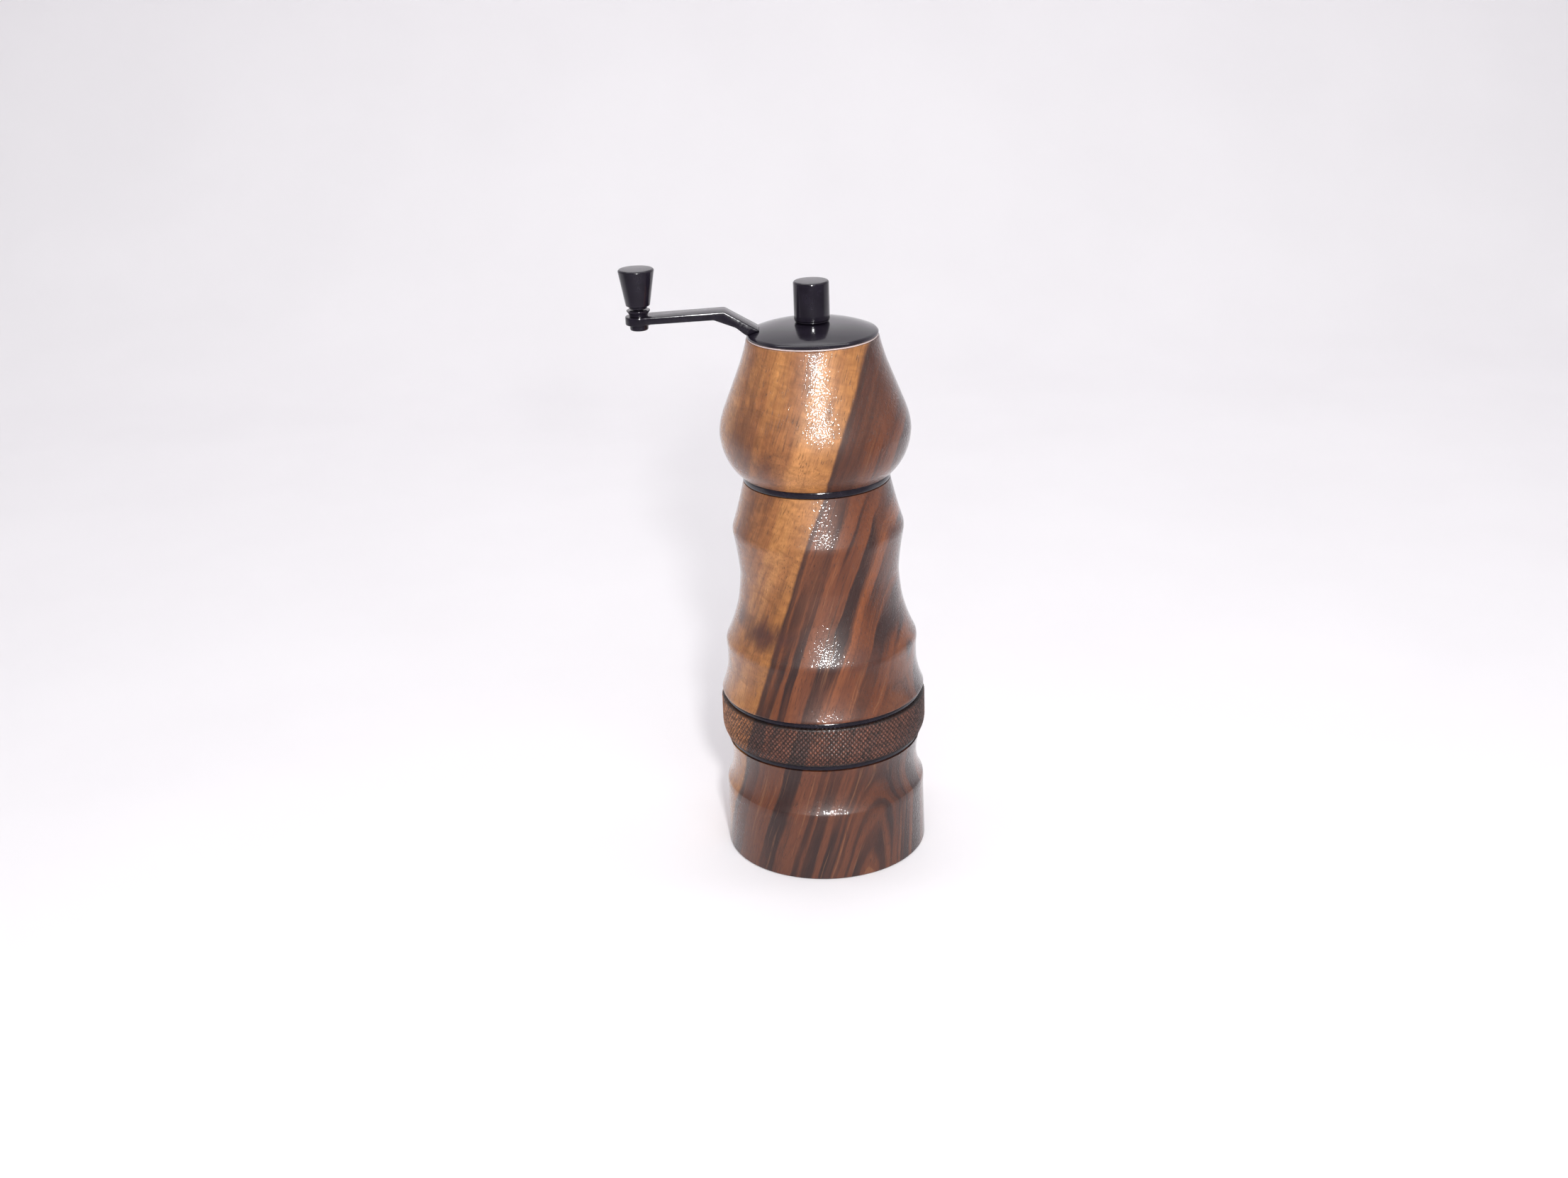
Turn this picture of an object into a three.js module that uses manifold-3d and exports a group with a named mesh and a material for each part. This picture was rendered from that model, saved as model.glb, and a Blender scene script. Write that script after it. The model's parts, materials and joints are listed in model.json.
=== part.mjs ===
// A hand crank coffee grinder: a turned wooden tower with a knurled grind adjuster, a pull-off grounds cup and a
// domed cap that carries the crank. Millimetres, +Z up, the origin on the grinder's axis where it stands on the table.
// The crank points along -X. From the bottom: cup, collar, adjuster, housing flange, body, neck, head, cap, crank.

import * as THREE from 'three';
import { mergeVertices } from 'three/addons/utils/BufferGeometryUtils.js';
import Module from 'manifold-3d';

const wasm = await Module();
wasm.setup();

// ---- Driving dimensions ------------------------------------------------------------------------------------------

const GAP = 0.3; // left between pieces that touch
const RUN = 0.15; // radial clearance of anything that turns or slides

// Heights of the joints between the visible pieces, from the table up.
const CUP_TOP = 40.7;
const COLLAR_LOW = 40.9;
const COLLAR_TOP = 42.7;
const RING_LOW = 43;
const RING_TOP = 56.9;
const FLANGE_LOW = 57.1;
const FLANGE_TOP = 58.8;
const BODY_LOW = 59;
const BODY_TOP = 134.5;
const NECK_LOW = 134.7;
const NECK_TOP = 137;
const HEAD_LOW = 137.2;
const HEAD_TOP = 182.8;
const CAP_LOW = 183.4;
const CAP_CROWN = 187.6;

// Radii of the visible bands.
const BASE_R = 35;
const RING_R = 35.5;
const COLLAR_R = 33.2;
const FLANGE_R = 34.4;
const NECK_R = 24.8;
const CAP_R = 21.6;

// Bores in the wood, from the cup up.
const CUP_FLOOR = 7;
const CUP_FILLET = 1.5;
const CUP_BORE_R = 26;
const CUP_MOUTH_R = 27.4;
const CUP_MOUTH_DEPTH = 10;
const SPIGOT_BORE_R = 24.3;
const SPIGOT_TOP = 77;
const HOPPER_R = 20.5;
const HEAD_BORE_R = 17.8;
const BRIDGE_SEAT = 169.2;
const HEAD_MOUTH_R = 18.6;
const NECK_SPIGOT_R = 20.3;
const NECK_BORE_R = 18;
const NECK_SPIGOT_LENGTH = 7.6;

// The mill housing, and the carrier that its three slots guide.
const TUBE_LOW = 34;
const TUBE_TOP = 76.5;
const TUBE_IN_R = 21;
const TUBE_OUT_R = 24;
const LUGS = 3;
const LUG_WIDTH = 7;
const LUG_LOW = 46.4;
const LUG_TOP = 50.4;
const LUG_R = 25.3;
const SLOT_PLAY = 1.2; // above and below each lug, more than the carrier travels
const THREAD_RELIEF_R = 26;
const SLEEVE_R = 29;

// Burrs.
const CARRIER_R = 20.7;
const BURR_OUT_R = 18;
const BURR_LOW = 43.7;
const BURR_WAIST = 47.5; // where the coarse teeth give way to the fine ones
const BURR_TOP = 54;
const CONE_TOP = 57;
const BURR_GAP = 0.8;

// Drive: a 6 mm shaft in two bearings 13 mm across and 5 mm thick, with a square under an M5 stud at the top.
const SHAFT_R = 3;
const STUD_R = 2.4;
const STUD_TOP = 198.3;
const SQUARE = 5;
const SQUARE_LOW = 176.2;
const SQUARE_TOP = 184.2;
const BEARING_R = 6.5;
const BEARING_T = 5;
const RACE_T = 0.9;
const BALL_R = 0.65;
const BALLS = 7;
const UPPER_BEARING = 169.4; // underside
const LOWER_BEARING = 64.2;

// Crank.
const CRANK_RADIUS = 56.3;
const ARM_TOP = 191.6;
const ARM_BEND = 192.7; // top of the arm where it turns down to the cap
const ARM_T = 2.4;
const ARM_W = 8;
const EYE_R = 4.4;
const EYE_T = 2.7;
const SPINDLE_R = 1.5;
const SPINDLE_LOW = 187.2;
const SPINDLE_TOP = 204.5;
const KNOB_LOW = 194.1;
const KNOB_TOP = 207;
const KNOB_WIDE_R = 5.9;
const KNOB_NARROW_R = 3.95;

// Finial, the tall knob that clamps the cap to the shaft.
const FINIAL_R = 5.85;
const FINIAL_LOW = 188.5;
const FINIAL_TOP = 201.1;

// ---- Materials ---------------------------------------------------------------------------------------------------

const material = (color, roughness, metalness) => new THREE.MeshStandardMaterial({ color, roughness, metalness });
const WALNUT = material(0x7a4a2a, 0.25, 0);
const BLACK_ALUMINIUM = material(0x0c0b0d, 0.2, 0.6);
const GREY_ALUMINIUM = material(0x8d8f93, 0.4, 0.9);
const STEEL = material(0xb9bbbe, 0.3, 1);
const BURR_STEEL = material(0x6f7174, 0.35, 1);
const NYLON = material(0xf1e6e2, 0.5, 0);
const RUBBER = material(0x161616, 0.7, 0);

// ---- Solids ------------------------------------------------------------------------------------------------------

const SMOOTH = 32; // sectors of the large turned pieces
const FINE = 20; // sectors of the small ones

// A closed geometry as a manifold-3d solid.
function solidOf(geometry) {
  const bare = geometry.index ? geometry.toNonIndexed() : geometry.clone();
  bare.deleteAttribute('normal');
  bare.deleteAttribute('uv');
  const merged = mergeVertices(bare, 1e-4);
  const vertProperties = merged.getAttribute('position').array;
  const triVerts = new Uint32Array(merged.index.array);
  return new wasm.Manifold(new wasm.Mesh({ numProp: 3, vertProperties, triVerts }));
}

// A manifold-3d solid as a geometry.
function geometryOf(solid) {
  const { vertProperties, triVerts } = solid.getMesh();
  const geometry = new THREE.BufferGeometry();
  geometry.setAttribute('position', new THREE.BufferAttribute(vertProperties, 3));
  geometry.setIndex(new THREE.BufferAttribute(triVerts, 1));
  return geometry;
}

// Joins the first list of geometries, then cuts away the second.
function shaped(joined, cut = []) {
  const whole = joined.map(solidOf).reduce((a, b) => a.add(b));
  return geometryOf(cut.map(solidOf).reduce((a, b) => a.subtract(b), whole));
}

// Turns an outline about Z. Its points are [radius, height] and run anticlockwise: out, up, and back in.
function turned(outline, sectors = FINE) {
  const points = outline.map(([r, z]) => new THREE.Vector2(r, z));
  return new THREE.LatheGeometry(points, sectors).rotateX(Math.PI / 2);
}

// A plain ring, or a disc if its bore is 0.
function ring(inner, outer, low, top, sectors = FINE) {
  const walls = [[inner, low], [outer, low], [outer, top], [inner, top]];
  return turned(inner > 0 ? [...walls, walls[0]] : walls, sectors);
}

function block(width, depth, low, top) {
  return new THREE.BoxGeometry(width, depth, top - low).translate(0, 0, (low + top) / 2);
}

function hexagon(acrossFlats, low, top) {
  const prism = new THREE.CylinderGeometry(acrossFlats / Math.sqrt(3), acrossFlats / Math.sqrt(3), top - low, 6);
  return prism.rotateX(Math.PI / 2).translate(0, 0, (low + top) / 2);
}

// Copies of a geometry made by `make`, turned evenly about Z.
function around(count, make) {
  return Array.from({ length: count }, (_, i) => make().rotateZ((2 * Math.PI * i) / count));
}

// Points along a chain of curves. Each entry is [radius, height] for a straight run, or
// [control radius, control height, radius, height] for a quadratic curve.
function profile(start, entries, steps = 3) {
  const path = new THREE.Path().moveTo(...start);
  for (const entry of entries) {
    if (entry.length === 2) path.lineTo(...entry);
    else path.quadraticCurveTo(...entry);
  }
  return path.getPoints(steps).map((p) => [p.x, p.y]);
}

// A tube whose walls are grids of points. `outside` and `inside` give a point's [radius, angle] from its height
// and its number round the tube.
function gridTube(heights, sectors, outside, inside) {
  const vertices = [];
  for (const wall of [outside, inside]) {
    for (const z of heights) {
      for (let k = 0; k < sectors; k++) {
        const [r, a] = wall(z, k);
        vertices.push(r * Math.cos(a), r * Math.sin(a), z);
      }
    }
  }
  const faces = [];
  const quad = (a, b, c, d) => faces.push(a, b, c, a, c, d);
  const inner = heights.length * sectors;
  const last = (heights.length - 1) * sectors;
  for (let k = 0; k < sectors; k++) {
    const n = (k + 1) % sectors;
    for (let row = 0; row < last; row += sectors) {
      quad(row + k, row + n, row + sectors + n, row + sectors + k);
      quad(inner + row + k, inner + row + sectors + k, inner + row + sectors + n, inner + row + n);
    }
    quad(last + k, last + n, inner + last + n, inner + last + k);
    quad(k, inner + k, inner + n, n);
  }
  const geometry = new THREE.BufferGeometry();
  geometry.setAttribute('position', new THREE.Float32BufferAttribute(vertices, 3));
  geometry.setIndex(faces);
  return geometry;
}

class Helix extends THREE.Curve {
  constructor(radius, low, top, turns) {
    super();
    Object.assign(this, { radius, low, top, turns });
  }

  getPoint(t, target = new THREE.Vector3()) {
    const angle = 2 * Math.PI * this.turns * t;
    const height = this.low + (this.top - this.low) * t;
    return target.set(this.radius * Math.cos(angle), this.radius * Math.sin(angle), height);
  }
}

// A compression spring of round wire about Z. `low` and `top` are the centres of its end turns.
function spring(coilRadius, wireRadius, low, top, turns) {
  const section = new THREE.Shape().absarc(0, 0, wireRadius, 0, 2 * Math.PI);
  const path = new Helix(coilRadius, low, top, turns);
  return new THREE.ExtrudeGeometry(section, { extrudePath: path, steps: 9 * turns, curveSegments: 2 });
}

// ---- Turned wood -------------------------------------------------------------------------------------------------

// The cup the grounds fall into: a straight foot, a soft ridge, and a cove up to the collar.
function groundsCup() {
  const outside = profile([BASE_R - 0.5, 0], [
    [BASE_R, 0.5],
    [34.7, 21],
    [35, 23.4, 34.6, 24.6],
    [32.8, 27.5, 32.4, 32],
    [32.2, 36, 33.4, CUP_TOP],
  ]);
  const mouthFoot = CUP_TOP - CUP_MOUTH_DEPTH;
  const inside = profile([CUP_MOUTH_R, CUP_TOP], [
    [CUP_MOUTH_R, mouthFoot],
    [CUP_BORE_R, mouthFoot],
    [CUP_BORE_R, CUP_FLOOR + CUP_FILLET],
    [CUP_BORE_R, CUP_FLOOR, CUP_BORE_R - CUP_FILLET, CUP_FLOOR],
    [0, CUP_FLOOR],
  ]);
  return turned([[0, 0], ...outside, ...inside], SMOOTH);
}

// The grip of the grind adjuster. Its knurl is cut within this radius.
function adjustingRing() {
  const bore = SLEEVE_R + GAP;
  const outside = profile([34.2, RING_LOW], [
    [35, 44, RING_R - 0.2, 47.6],
    [RING_R, 50, RING_R, RING_TOP - 0.6],
    [RING_R - 0.6, RING_TOP],
  ]);
  return turned([[bore, RING_LOW], ...outside, [bore, RING_TOP], [bore, RING_LOW]], SMOOTH);
}

// The grip of the grinder and its lower hopper: three coves between two ridges.
function mainBody() {
  const outside = profile([34.8, BODY_LOW], [
    [35.1, BODY_LOW + 0.5],
    [33.1, 64.2, 32.7, 69.2],
    [32.5, 73.5, 32.9, 76.6],
    [33, 77.9, 32.5, 79],
    [29.7, 84.6, 28.2, 91.4],
    [27.3, 96.8, 27.1, 102],
    [27.6, 109.2, 28.9, 116],
    [29.2, 117.4, 28.9, 118.8],
    [26.7, 125.5, 24.7, BODY_TOP],
  ]);
  return turned([
    [SPIGOT_BORE_R, BODY_LOW], ...outside,
    [HOPPER_R, BODY_TOP], [HOPPER_R, SPIGOT_TOP], [SPIGOT_BORE_R, SPIGOT_TOP], [SPIGOT_BORE_R, BODY_LOW],
  ], SMOOTH);
}

// The bulb that ends in the hopper's mouth.
function upperHead() {
  const outside = profile([25.5, HEAD_LOW], [
    [31.4, 142.5, 31.9, 151.3],
    [31.9, 155, 29.9, 160],
    [24.6, 173.4],
    [22.9, 178, 21.9, HEAD_TOP - 0.3],
    [21.6, HEAD_TOP],
  ]);
  const counterbore = HEAD_LOW + NECK_SPIGOT_LENGTH + GAP;
  return turned([
    [HOPPER_R, HEAD_LOW], ...outside,
    [HEAD_MOUTH_R, HEAD_TOP], [HEAD_MOUTH_R, BRIDGE_SEAT], [HEAD_BORE_R, BRIDGE_SEAT],
    [HEAD_BORE_R, counterbore], [HOPPER_R, counterbore], [HOPPER_R, HEAD_LOW],
  ], SMOOTH);
}

// ---- Fixed metal and rubber --------------------------------------------------------------------------------------

// The black band at the neck, with a spigot into the body and one into the head.
function neckRing() {
  const low = NECK_LOW - NECK_SPIGOT_LENGTH;
  const top = NECK_TOP + NECK_SPIGOT_LENGTH;
  return turned([
    [NECK_BORE_R, low], [NECK_SPIGOT_R, low], [NECK_SPIGOT_R, NECK_LOW], [NECK_R, NECK_LOW],
    [NECK_R, NECK_TOP], [NECK_SPIGOT_R, NECK_TOP], [NECK_SPIGOT_R, top], [NECK_BORE_R, top], [NECK_BORE_R, low],
  ], SMOOTH);
}

// The tube that holds the mill, glued into the body up to its flange, with a slot for each lug of the carrier.
function millHousing() {
  const tube = ring(TUBE_IN_R, TUBE_OUT_R, TUBE_LOW, TUBE_TOP, SMOOTH);
  const flange = ring(TUBE_OUT_R - 1, FLANGE_R, FLANGE_LOW, FLANGE_TOP, SMOOTH);
  const slot = () => block(12, LUG_WIDTH + 2 * GAP, LUG_LOW - SLOT_PLAY, LUG_TOP + SLOT_PLAY)
    .translate(TUBE_OUT_R, 0, 0);
  return shaped([tube, flange], around(LUGS, slot));
}

const COLLAR_SPIGOT_R = 27;
const COLLAR_SPIGOT_LOW = 33.5;
const SEAL_HEIGHT = 37.1;
const SEAL_MINOR_R = 0.75;
const SEAL_MAJOR_R = 26.5;
const CLICK_RADIUS = 25.7; // of the circle that the click ball rides on
const CLICK_POCKET_R = 0.95;
const CLICK_POCKET_LOW = 38.5;

// The black collar under the adjuster. It screws on the housing and its spigot carries the cup.
function lowerCollar() {
  const bore = TUBE_OUT_R + GAP;
  const groove = SEAL_MAJOR_R - SEAL_MINOR_R - 0.15;
  const grooveHalf = SEAL_MINOR_R + 0.15;
  const body = turned([
    [bore, COLLAR_SPIGOT_LOW], [COLLAR_SPIGOT_R, COLLAR_SPIGOT_LOW], [COLLAR_SPIGOT_R, SEAL_HEIGHT - grooveHalf],
    [groove, SEAL_HEIGHT - grooveHalf], [groove, SEAL_HEIGHT + grooveHalf],
    [COLLAR_SPIGOT_R, SEAL_HEIGHT + grooveHalf], [COLLAR_SPIGOT_R, COLLAR_LOW], [COLLAR_R, COLLAR_LOW],
    [COLLAR_R, COLLAR_TOP], [bore, COLLAR_TOP], [bore, COLLAR_SPIGOT_LOW],
  ], SMOOTH);
  const pocket = ring(0, CLICK_POCKET_R, CLICK_POCKET_LOW, COLLAR_TOP + 1, 12).translate(0, CLICK_RADIUS, 0);
  return shaped([body], [pocket]);
}

function cupSeal() {
  return new THREE.TorusGeometry(SEAL_MAJOR_R, SEAL_MINOR_R, 6, SMOOTH).translate(0, 0, SEAL_HEIGHT);
}

function glideWasher() {
  return ring(HEAD_MOUTH_R + 0.1, 21.5, HEAD_TOP + 0.1, CAP_LOW - 0.1, SMOOTH);
}

const CLICK_BALL_R = 0.8;

function clickBall() {
  return new THREE.IcosahedronGeometry(CLICK_BALL_R, 1)
    .translate(0, CLICK_RADIUS, RING_LOW - CLICK_BALL_R - 0.1);
}

function clickSpring() {
  const wire = 0.15;
  const top = RING_LOW - 2 * CLICK_BALL_R - 0.2 - wire;
  return spring(0.65, wire, CLICK_POCKET_LOW + wire + 0.1, top, 4).translate(0, CLICK_RADIUS, 0);
}

// A bearing's seat on three spokes, with open segments that beans fall through.
function bridge(rimIn, rimOut, bearingLow) {
  const rim = ring(rimIn, rimOut, bearingLow, bearingLow + BEARING_T, SMOOTH);
  const lip = 0.9;
  const hubLow = bearingLow - lip;
  const hubTop = bearingLow + BEARING_T + 0.4;
  const seat = BEARING_R + 0.1;
  const hub = turned([
    [BEARING_R - RACE_T, hubLow], [BEARING_R + 2.4, hubLow], [BEARING_R + 2.4, hubTop], [seat, hubTop],
    [seat, bearingLow - 0.1], [BEARING_R - RACE_T, bearingLow - 0.1], [BEARING_R - RACE_T, hubLow],
  ]);
  const from = BEARING_R + 1.5;
  const to = rimIn + 0.8;
  const spoke = () => block(to - from, 3.4, bearingLow + 0.6, bearingLow + BEARING_T - 0.6)
    .translate((from + to) / 2, 0, 0);
  return shaped([rim, hub, ...around(3, spoke)]);
}

// ---- Bearings ----------------------------------------------------------------------------------------------------

const outerRace = (low) => ring(BEARING_R - RACE_T, BEARING_R, low, low + BEARING_T);
const innerRace = (low) => ring(SHAFT_R + 0.1, SHAFT_R + 0.1 + RACE_T, low, low + BEARING_T);

// The balls of a bearing, held apart by their cage.
function ballCage(low) {
  const pitch = (SHAFT_R + 0.1 + BEARING_R) / 2;
  const middle = low + BEARING_T / 2;
  const cage = ring(pitch - 0.3, pitch + 0.3, middle - 0.3, middle + 0.3, 2 * BALLS);
  const ball = () => new THREE.SphereGeometry(BALL_R, 6, 4).translate(pitch, 0, middle);
  return shaped([cage, ...around(BALLS, ball)]);
}

// ---- Drive -------------------------------------------------------------------------------------------------------

const BURR_FOOT = 43.2; // underside of the turning burr, which the washer and nut press against its shoulder
const BURR_SHOULDER = 43.6;
const BURR_STUD_LOW = 38;

function driveShaft() {
  const collarLow = UPPER_BEARING - 1.5;
  const round = turned([
    [0, BURR_STUD_LOW], [STUD_R, BURR_STUD_LOW], [STUD_R, BURR_SHOULDER], [SHAFT_R, BURR_SHOULDER],
    [SHAFT_R, collarLow], [SHAFT_R + 0.9, collarLow], [SHAFT_R + 0.9, UPPER_BEARING - 0.1],
    [SHAFT_R, UPPER_BEARING - 0.1], [SHAFT_R, SQUARE_LOW], [STUD_R, SQUARE_LOW],
    [STUD_R, STUD_TOP - 0.6], [STUD_R - 0.6, STUD_TOP], [0, STUD_TOP],
  ]);
  return shaped([round, block(SQUARE, SQUARE, SQUARE_LOW - 0.5, SQUARE_TOP)]);
}

// The turning burr: coarse teeth that draw the beans down, then a fine band at the foot.
function coneBurr() {
  const teeth = 12;
  const foot = 15.8;
  const waist = foot - (BURR_WAIST - BURR_LOW) * 0.37;
  const crest = { [BURR_FOOT]: foot, [BURR_LOW]: foot, [BURR_WAIST]: waist, 52: 11.3, [CONE_TOP]: 7.4 };
  const depth = { [BURR_FOOT]: 0.5, [BURR_LOW]: 0.5, [BURR_WAIST]: 1, 52: 2.2, [CONE_TOP]: 1.6 };
  const heights = Object.keys(crest).map(Number).sort((a, b) => a - b);
  const sweep = (z) => 0.035 * (z - BURR_LOW);
  const outside = (z, k) => {
    const root = k % 2 ? depth[z] : 0;
    return [crest[z] - root, (Math.PI * (k + (k % 2 ? 0.5 : 0))) / teeth + sweep(z)];
  };
  const inside = (z, k) => [SHAFT_R + 0.15, (Math.PI * k) / teeth];
  return gridTube(heights, 2 * teeth, outside, inside);
}

function burrWasher() {
  return ring(STUD_R + 0.2, 6, BURR_FOOT - 1.1, BURR_FOOT - 0.2);
}

function burrNut() {
  const top = BURR_FOOT - 1.3;
  return shaped([hexagon(8, top - 3.4, top)], [ring(0, STUD_R + 0.15, top - 4, top + 1)]);
}

function preloadSpring() {
  const wire = 0.45;
  return spring(4.1, wire, CONE_TOP + wire + 0.2, LOWER_BEARING - wire - 0.3, 4);
}

function shaftCirclip() {
  const low = UPPER_BEARING + BEARING_T + 0.1;
  const gap = block(3, 2, low - 1, low + 2).translate(SHAFT_R + 1.5, 0, 0);
  return shaped([ring(SHAFT_R + 0.1, SHAFT_R + 1.4, low, low + 0.55)], [gap]);
}

// ---- Grind adjuster ----------------------------------------------------------------------------------------------

// The threaded sleeve glued inside the adjusting ring. The lugs of the carrier reach into its relief.
function adjusterSleeve() {
  const bore = TUBE_OUT_R + RUN;
  const reliefLow = LUG_LOW - SLOT_PLAY - 0.2;
  const reliefTop = LUG_TOP + SLOT_PLAY + 0.2;
  return turned([
    [bore, RING_LOW], [SLEEVE_R, RING_LOW], [SLEEVE_R, RING_TOP], [bore, RING_TOP], [bore, reliefTop],
    [THREAD_RELIEF_R, reliefTop], [THREAD_RELIEF_R, reliefLow], [bore, reliefLow], [bore, RING_LOW],
  ], SMOOTH);
}

// The cup-shaped carrier that slides in the housing and holds the ring burr.
function burrCarrier() {
  const seat = BURR_OUT_R + 0.2;
  const lip = 17;
  const cup = turned([
    [lip, 42.6], [CARRIER_R, 42.6], [CARRIER_R, 55.4], [seat, 55.4], [seat, BURR_LOW - 0.2],
    [lip, BURR_LOW - 0.2], [lip, 42.6],
  ], SMOOTH);
  const from = CARRIER_R - 1;
  const lug = () => block(LUG_R - from, LUG_WIDTH, LUG_LOW, LUG_TOP).translate((LUG_R + from) / 2, 0, 0);
  return shaped([cup, ...around(LUGS, lug)]);
}

// The standing burr, toothed on its inside.
function ringBurr() {
  const teeth = 18;
  const foot = 15.8 + BURR_GAP;
  const waist = foot - (BURR_WAIST - BURR_LOW) * 0.37;
  const crest = { [BURR_LOW]: foot, [BURR_WAIST]: waist, [BURR_TOP]: 16.4 };
  const depth = { [BURR_LOW]: 0.4, [BURR_WAIST]: 0.7, [BURR_TOP]: 0.9 };
  const heights = [BURR_LOW, BURR_WAIST, BURR_TOP];
  const sweep = (z) => -0.03 * (z - BURR_LOW);
  const outside = (z, k) => [BURR_OUT_R, (Math.PI * k) / teeth];
  const inside = (z, k) => [crest[z] + (k % 2 ? depth[z] : 0), (Math.PI * k) / teeth + sweep(z)];
  return gridTube(heights, 2 * teeth, outside, inside);
}

function burrRetainingRing() {
  return ring(17.4, BURR_OUT_R, BURR_TOP + 0.2, 55.4, SMOOTH);
}

// ---- Cap, crank and finial ---------------------------------------------------------------------------------------

const CAP_EDGE = 1;
const capHeight = (r) => CAP_CROWN - (CAP_CROWN - CAP_LOW - CAP_EDGE) * (r / CAP_R) ** 3;

// The dome, with a skirt that centres it in the head and a square socket on the shaft.
function capDome() {
  const top = [20.6, 18, 14, 9, 5].map((r) => [r, capHeight(r)]);
  const skirtOut = HEAD_MOUTH_R - 0.4;
  const skirtIn = skirtOut - 1.2;
  const skirtLow = CAP_LOW - 4.2;
  const hub = 6;
  const hubLow = SQUARE_LOW + 0.2;
  const body = turned([
    [0, hubLow], [hub, hubLow], [hub, CAP_LOW], [skirtIn, CAP_LOW], [skirtIn, skirtLow], [skirtOut, skirtLow],
    [skirtOut, CAP_LOW], [CAP_R, CAP_LOW], [CAP_R, CAP_LOW + CAP_EDGE], ...top, [0, CAP_CROWN],
  ], SMOOTH);
  const socket = block(SQUARE + GAP, SQUARE + GAP, SQUARE_LOW - 1, SQUARE_TOP + 0.2);
  const studHole = ring(0, STUD_R + 0.2, SQUARE_LOW - 1, CAP_CROWN + 1);
  return shaped([body], [socket, studHole]);
}

// The arm in side view: it rises from the cap's rim, turns level and ends in an eye. `x` is the distance from the axis.
function crankArm() {
  const foot = (x) => capHeight(Math.min(x, CAP_R)) + GAP;
  const side = new THREE.Shape([
    [17.3, foot(17.3)], [17.6, foot(17.3) + 0.4], [28.4, ARM_BEND], [CRANK_RADIUS, ARM_TOP],
    [CRANK_RADIUS, ARM_TOP - ARM_T], [31.9, ARM_BEND - 2.7], [24.8, 187.2], [22.2, foot(CAP_R) + 0.3],
    [21.5, foot(CAP_R)],
  ].map(([x, z]) => new THREE.Vector2(-x, z)));
  const bar = new THREE.ExtrudeGeometry(side, { depth: ARM_W, bevelEnabled: false })
    .rotateX(Math.PI / 2)
    .translate(0, ARM_W / 2, 0);
  const eyeLow = ARM_TOP - EYE_T;
  const eye = ring(0, EYE_R, eyeLow, ARM_TOP).translate(-CRANK_RADIUS, 0, 0);
  const hole = ring(0, SPINDLE_R + 0.2, eyeLow - 1, ARM_TOP + 1, 16).translate(-CRANK_RADIUS, 0, 0);
  return shaped([bar, eye], [hole]);
}

// The post the crank knob turns on. Its tapered flange sits on the arm's eye.
function knobSpindle() {
  const flange = ARM_TOP + 0.1;
  return turned([
    [0, SPINDLE_LOW], [SPINDLE_R, SPINDLE_LOW], [SPINDLE_R, flange], [3, flange], [3, flange + 0.5], [3.85, flange + 1.6],
    [3.85, flange + 1.9], [SPINDLE_R, flange + 1.9], [SPINDLE_R, SPINDLE_TOP], [0, SPINDLE_TOP],
  ]);
}

function spindleNut() {
  const top = ARM_TOP - EYE_T - 0.1;
  const low = SPINDLE_LOW - 0.3;
  return turned([
    [SPINDLE_R + 0.1, low], [2.3, low], [3.05, low + 0.6], [3.05, top], [SPINDLE_R + 0.1, top],
    [SPINDLE_R + 0.1, low],
  ]);
}

const SNAP_RING = 203;

function knobSnapRing() {
  const opening = block(2, 1.2, SNAP_RING - 1, SNAP_RING + 1).translate(2.3, 0, 0);
  return shaped([ring(SPINDLE_R + 0.1, 2.5, SNAP_RING, SNAP_RING + 0.4)], [opening]);
}

// The tapered grip, bored to run on the spindle, with a groove for the snap ring.
function crankKnob() {
  const bore = SPINDLE_R + RUN;
  const boreTop = SPINDLE_TOP + 0.4;
  const groove = 2.8;
  return turned([
    [bore, KNOB_LOW], [3, KNOB_LOW], [3, KNOB_LOW + 0.6], [KNOB_NARROW_R, KNOB_LOW + 1.2],
    [KNOB_WIDE_R, KNOB_TOP - 0.4], [KNOB_WIDE_R - 0.3, KNOB_TOP], [0, KNOB_TOP], [0, boreTop], [bore, boreTop],
    [bore, SNAP_RING + 0.7], [groove, SNAP_RING + 0.7], [groove, SNAP_RING - 0.3], [bore, SNAP_RING - 0.3],
    [bore, KNOB_LOW],
  ]);
}

function finialCollar() {
  const low = CAP_CROWN + 0.1;
  const top = FINIAL_LOW - 0.2;
  return turned([
    [STUD_R + 0.2, low], [5.1, low], [FINIAL_R, low + 0.4], [FINIAL_R, top], [STUD_R + 0.2, top],
    [STUD_R + 0.2, low],
  ]);
}

function finialKnob() {
  const bore = STUD_R + RUN;
  return turned([
    [bore, FINIAL_LOW], [FINIAL_R, FINIAL_LOW], [FINIAL_R, FINIAL_TOP - 0.3], [FINIAL_R - 0.3, FINIAL_TOP],
    [0, FINIAL_TOP], [0, STUD_TOP + 0.5], [bore, STUD_TOP + 0.5], [bore, FINIAL_LOW],
  ]);
}

// ---- Assembly ----------------------------------------------------------------------------------------------------

const grinder = new THREE.Group();

function add(name, geometry, finish, x = 0) {
  const mesh = new THREE.Mesh(geometry, finish);
  mesh.name = name;
  mesh.position.x = x;
  grinder.add(mesh);
}

add('grounds_cup', groundsCup(), WALNUT);
add('adjusting_ring', adjustingRing(), WALNUT);
add('main_body', mainBody(), WALNUT);
add('upper_head', upperHead(), WALNUT);

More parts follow.
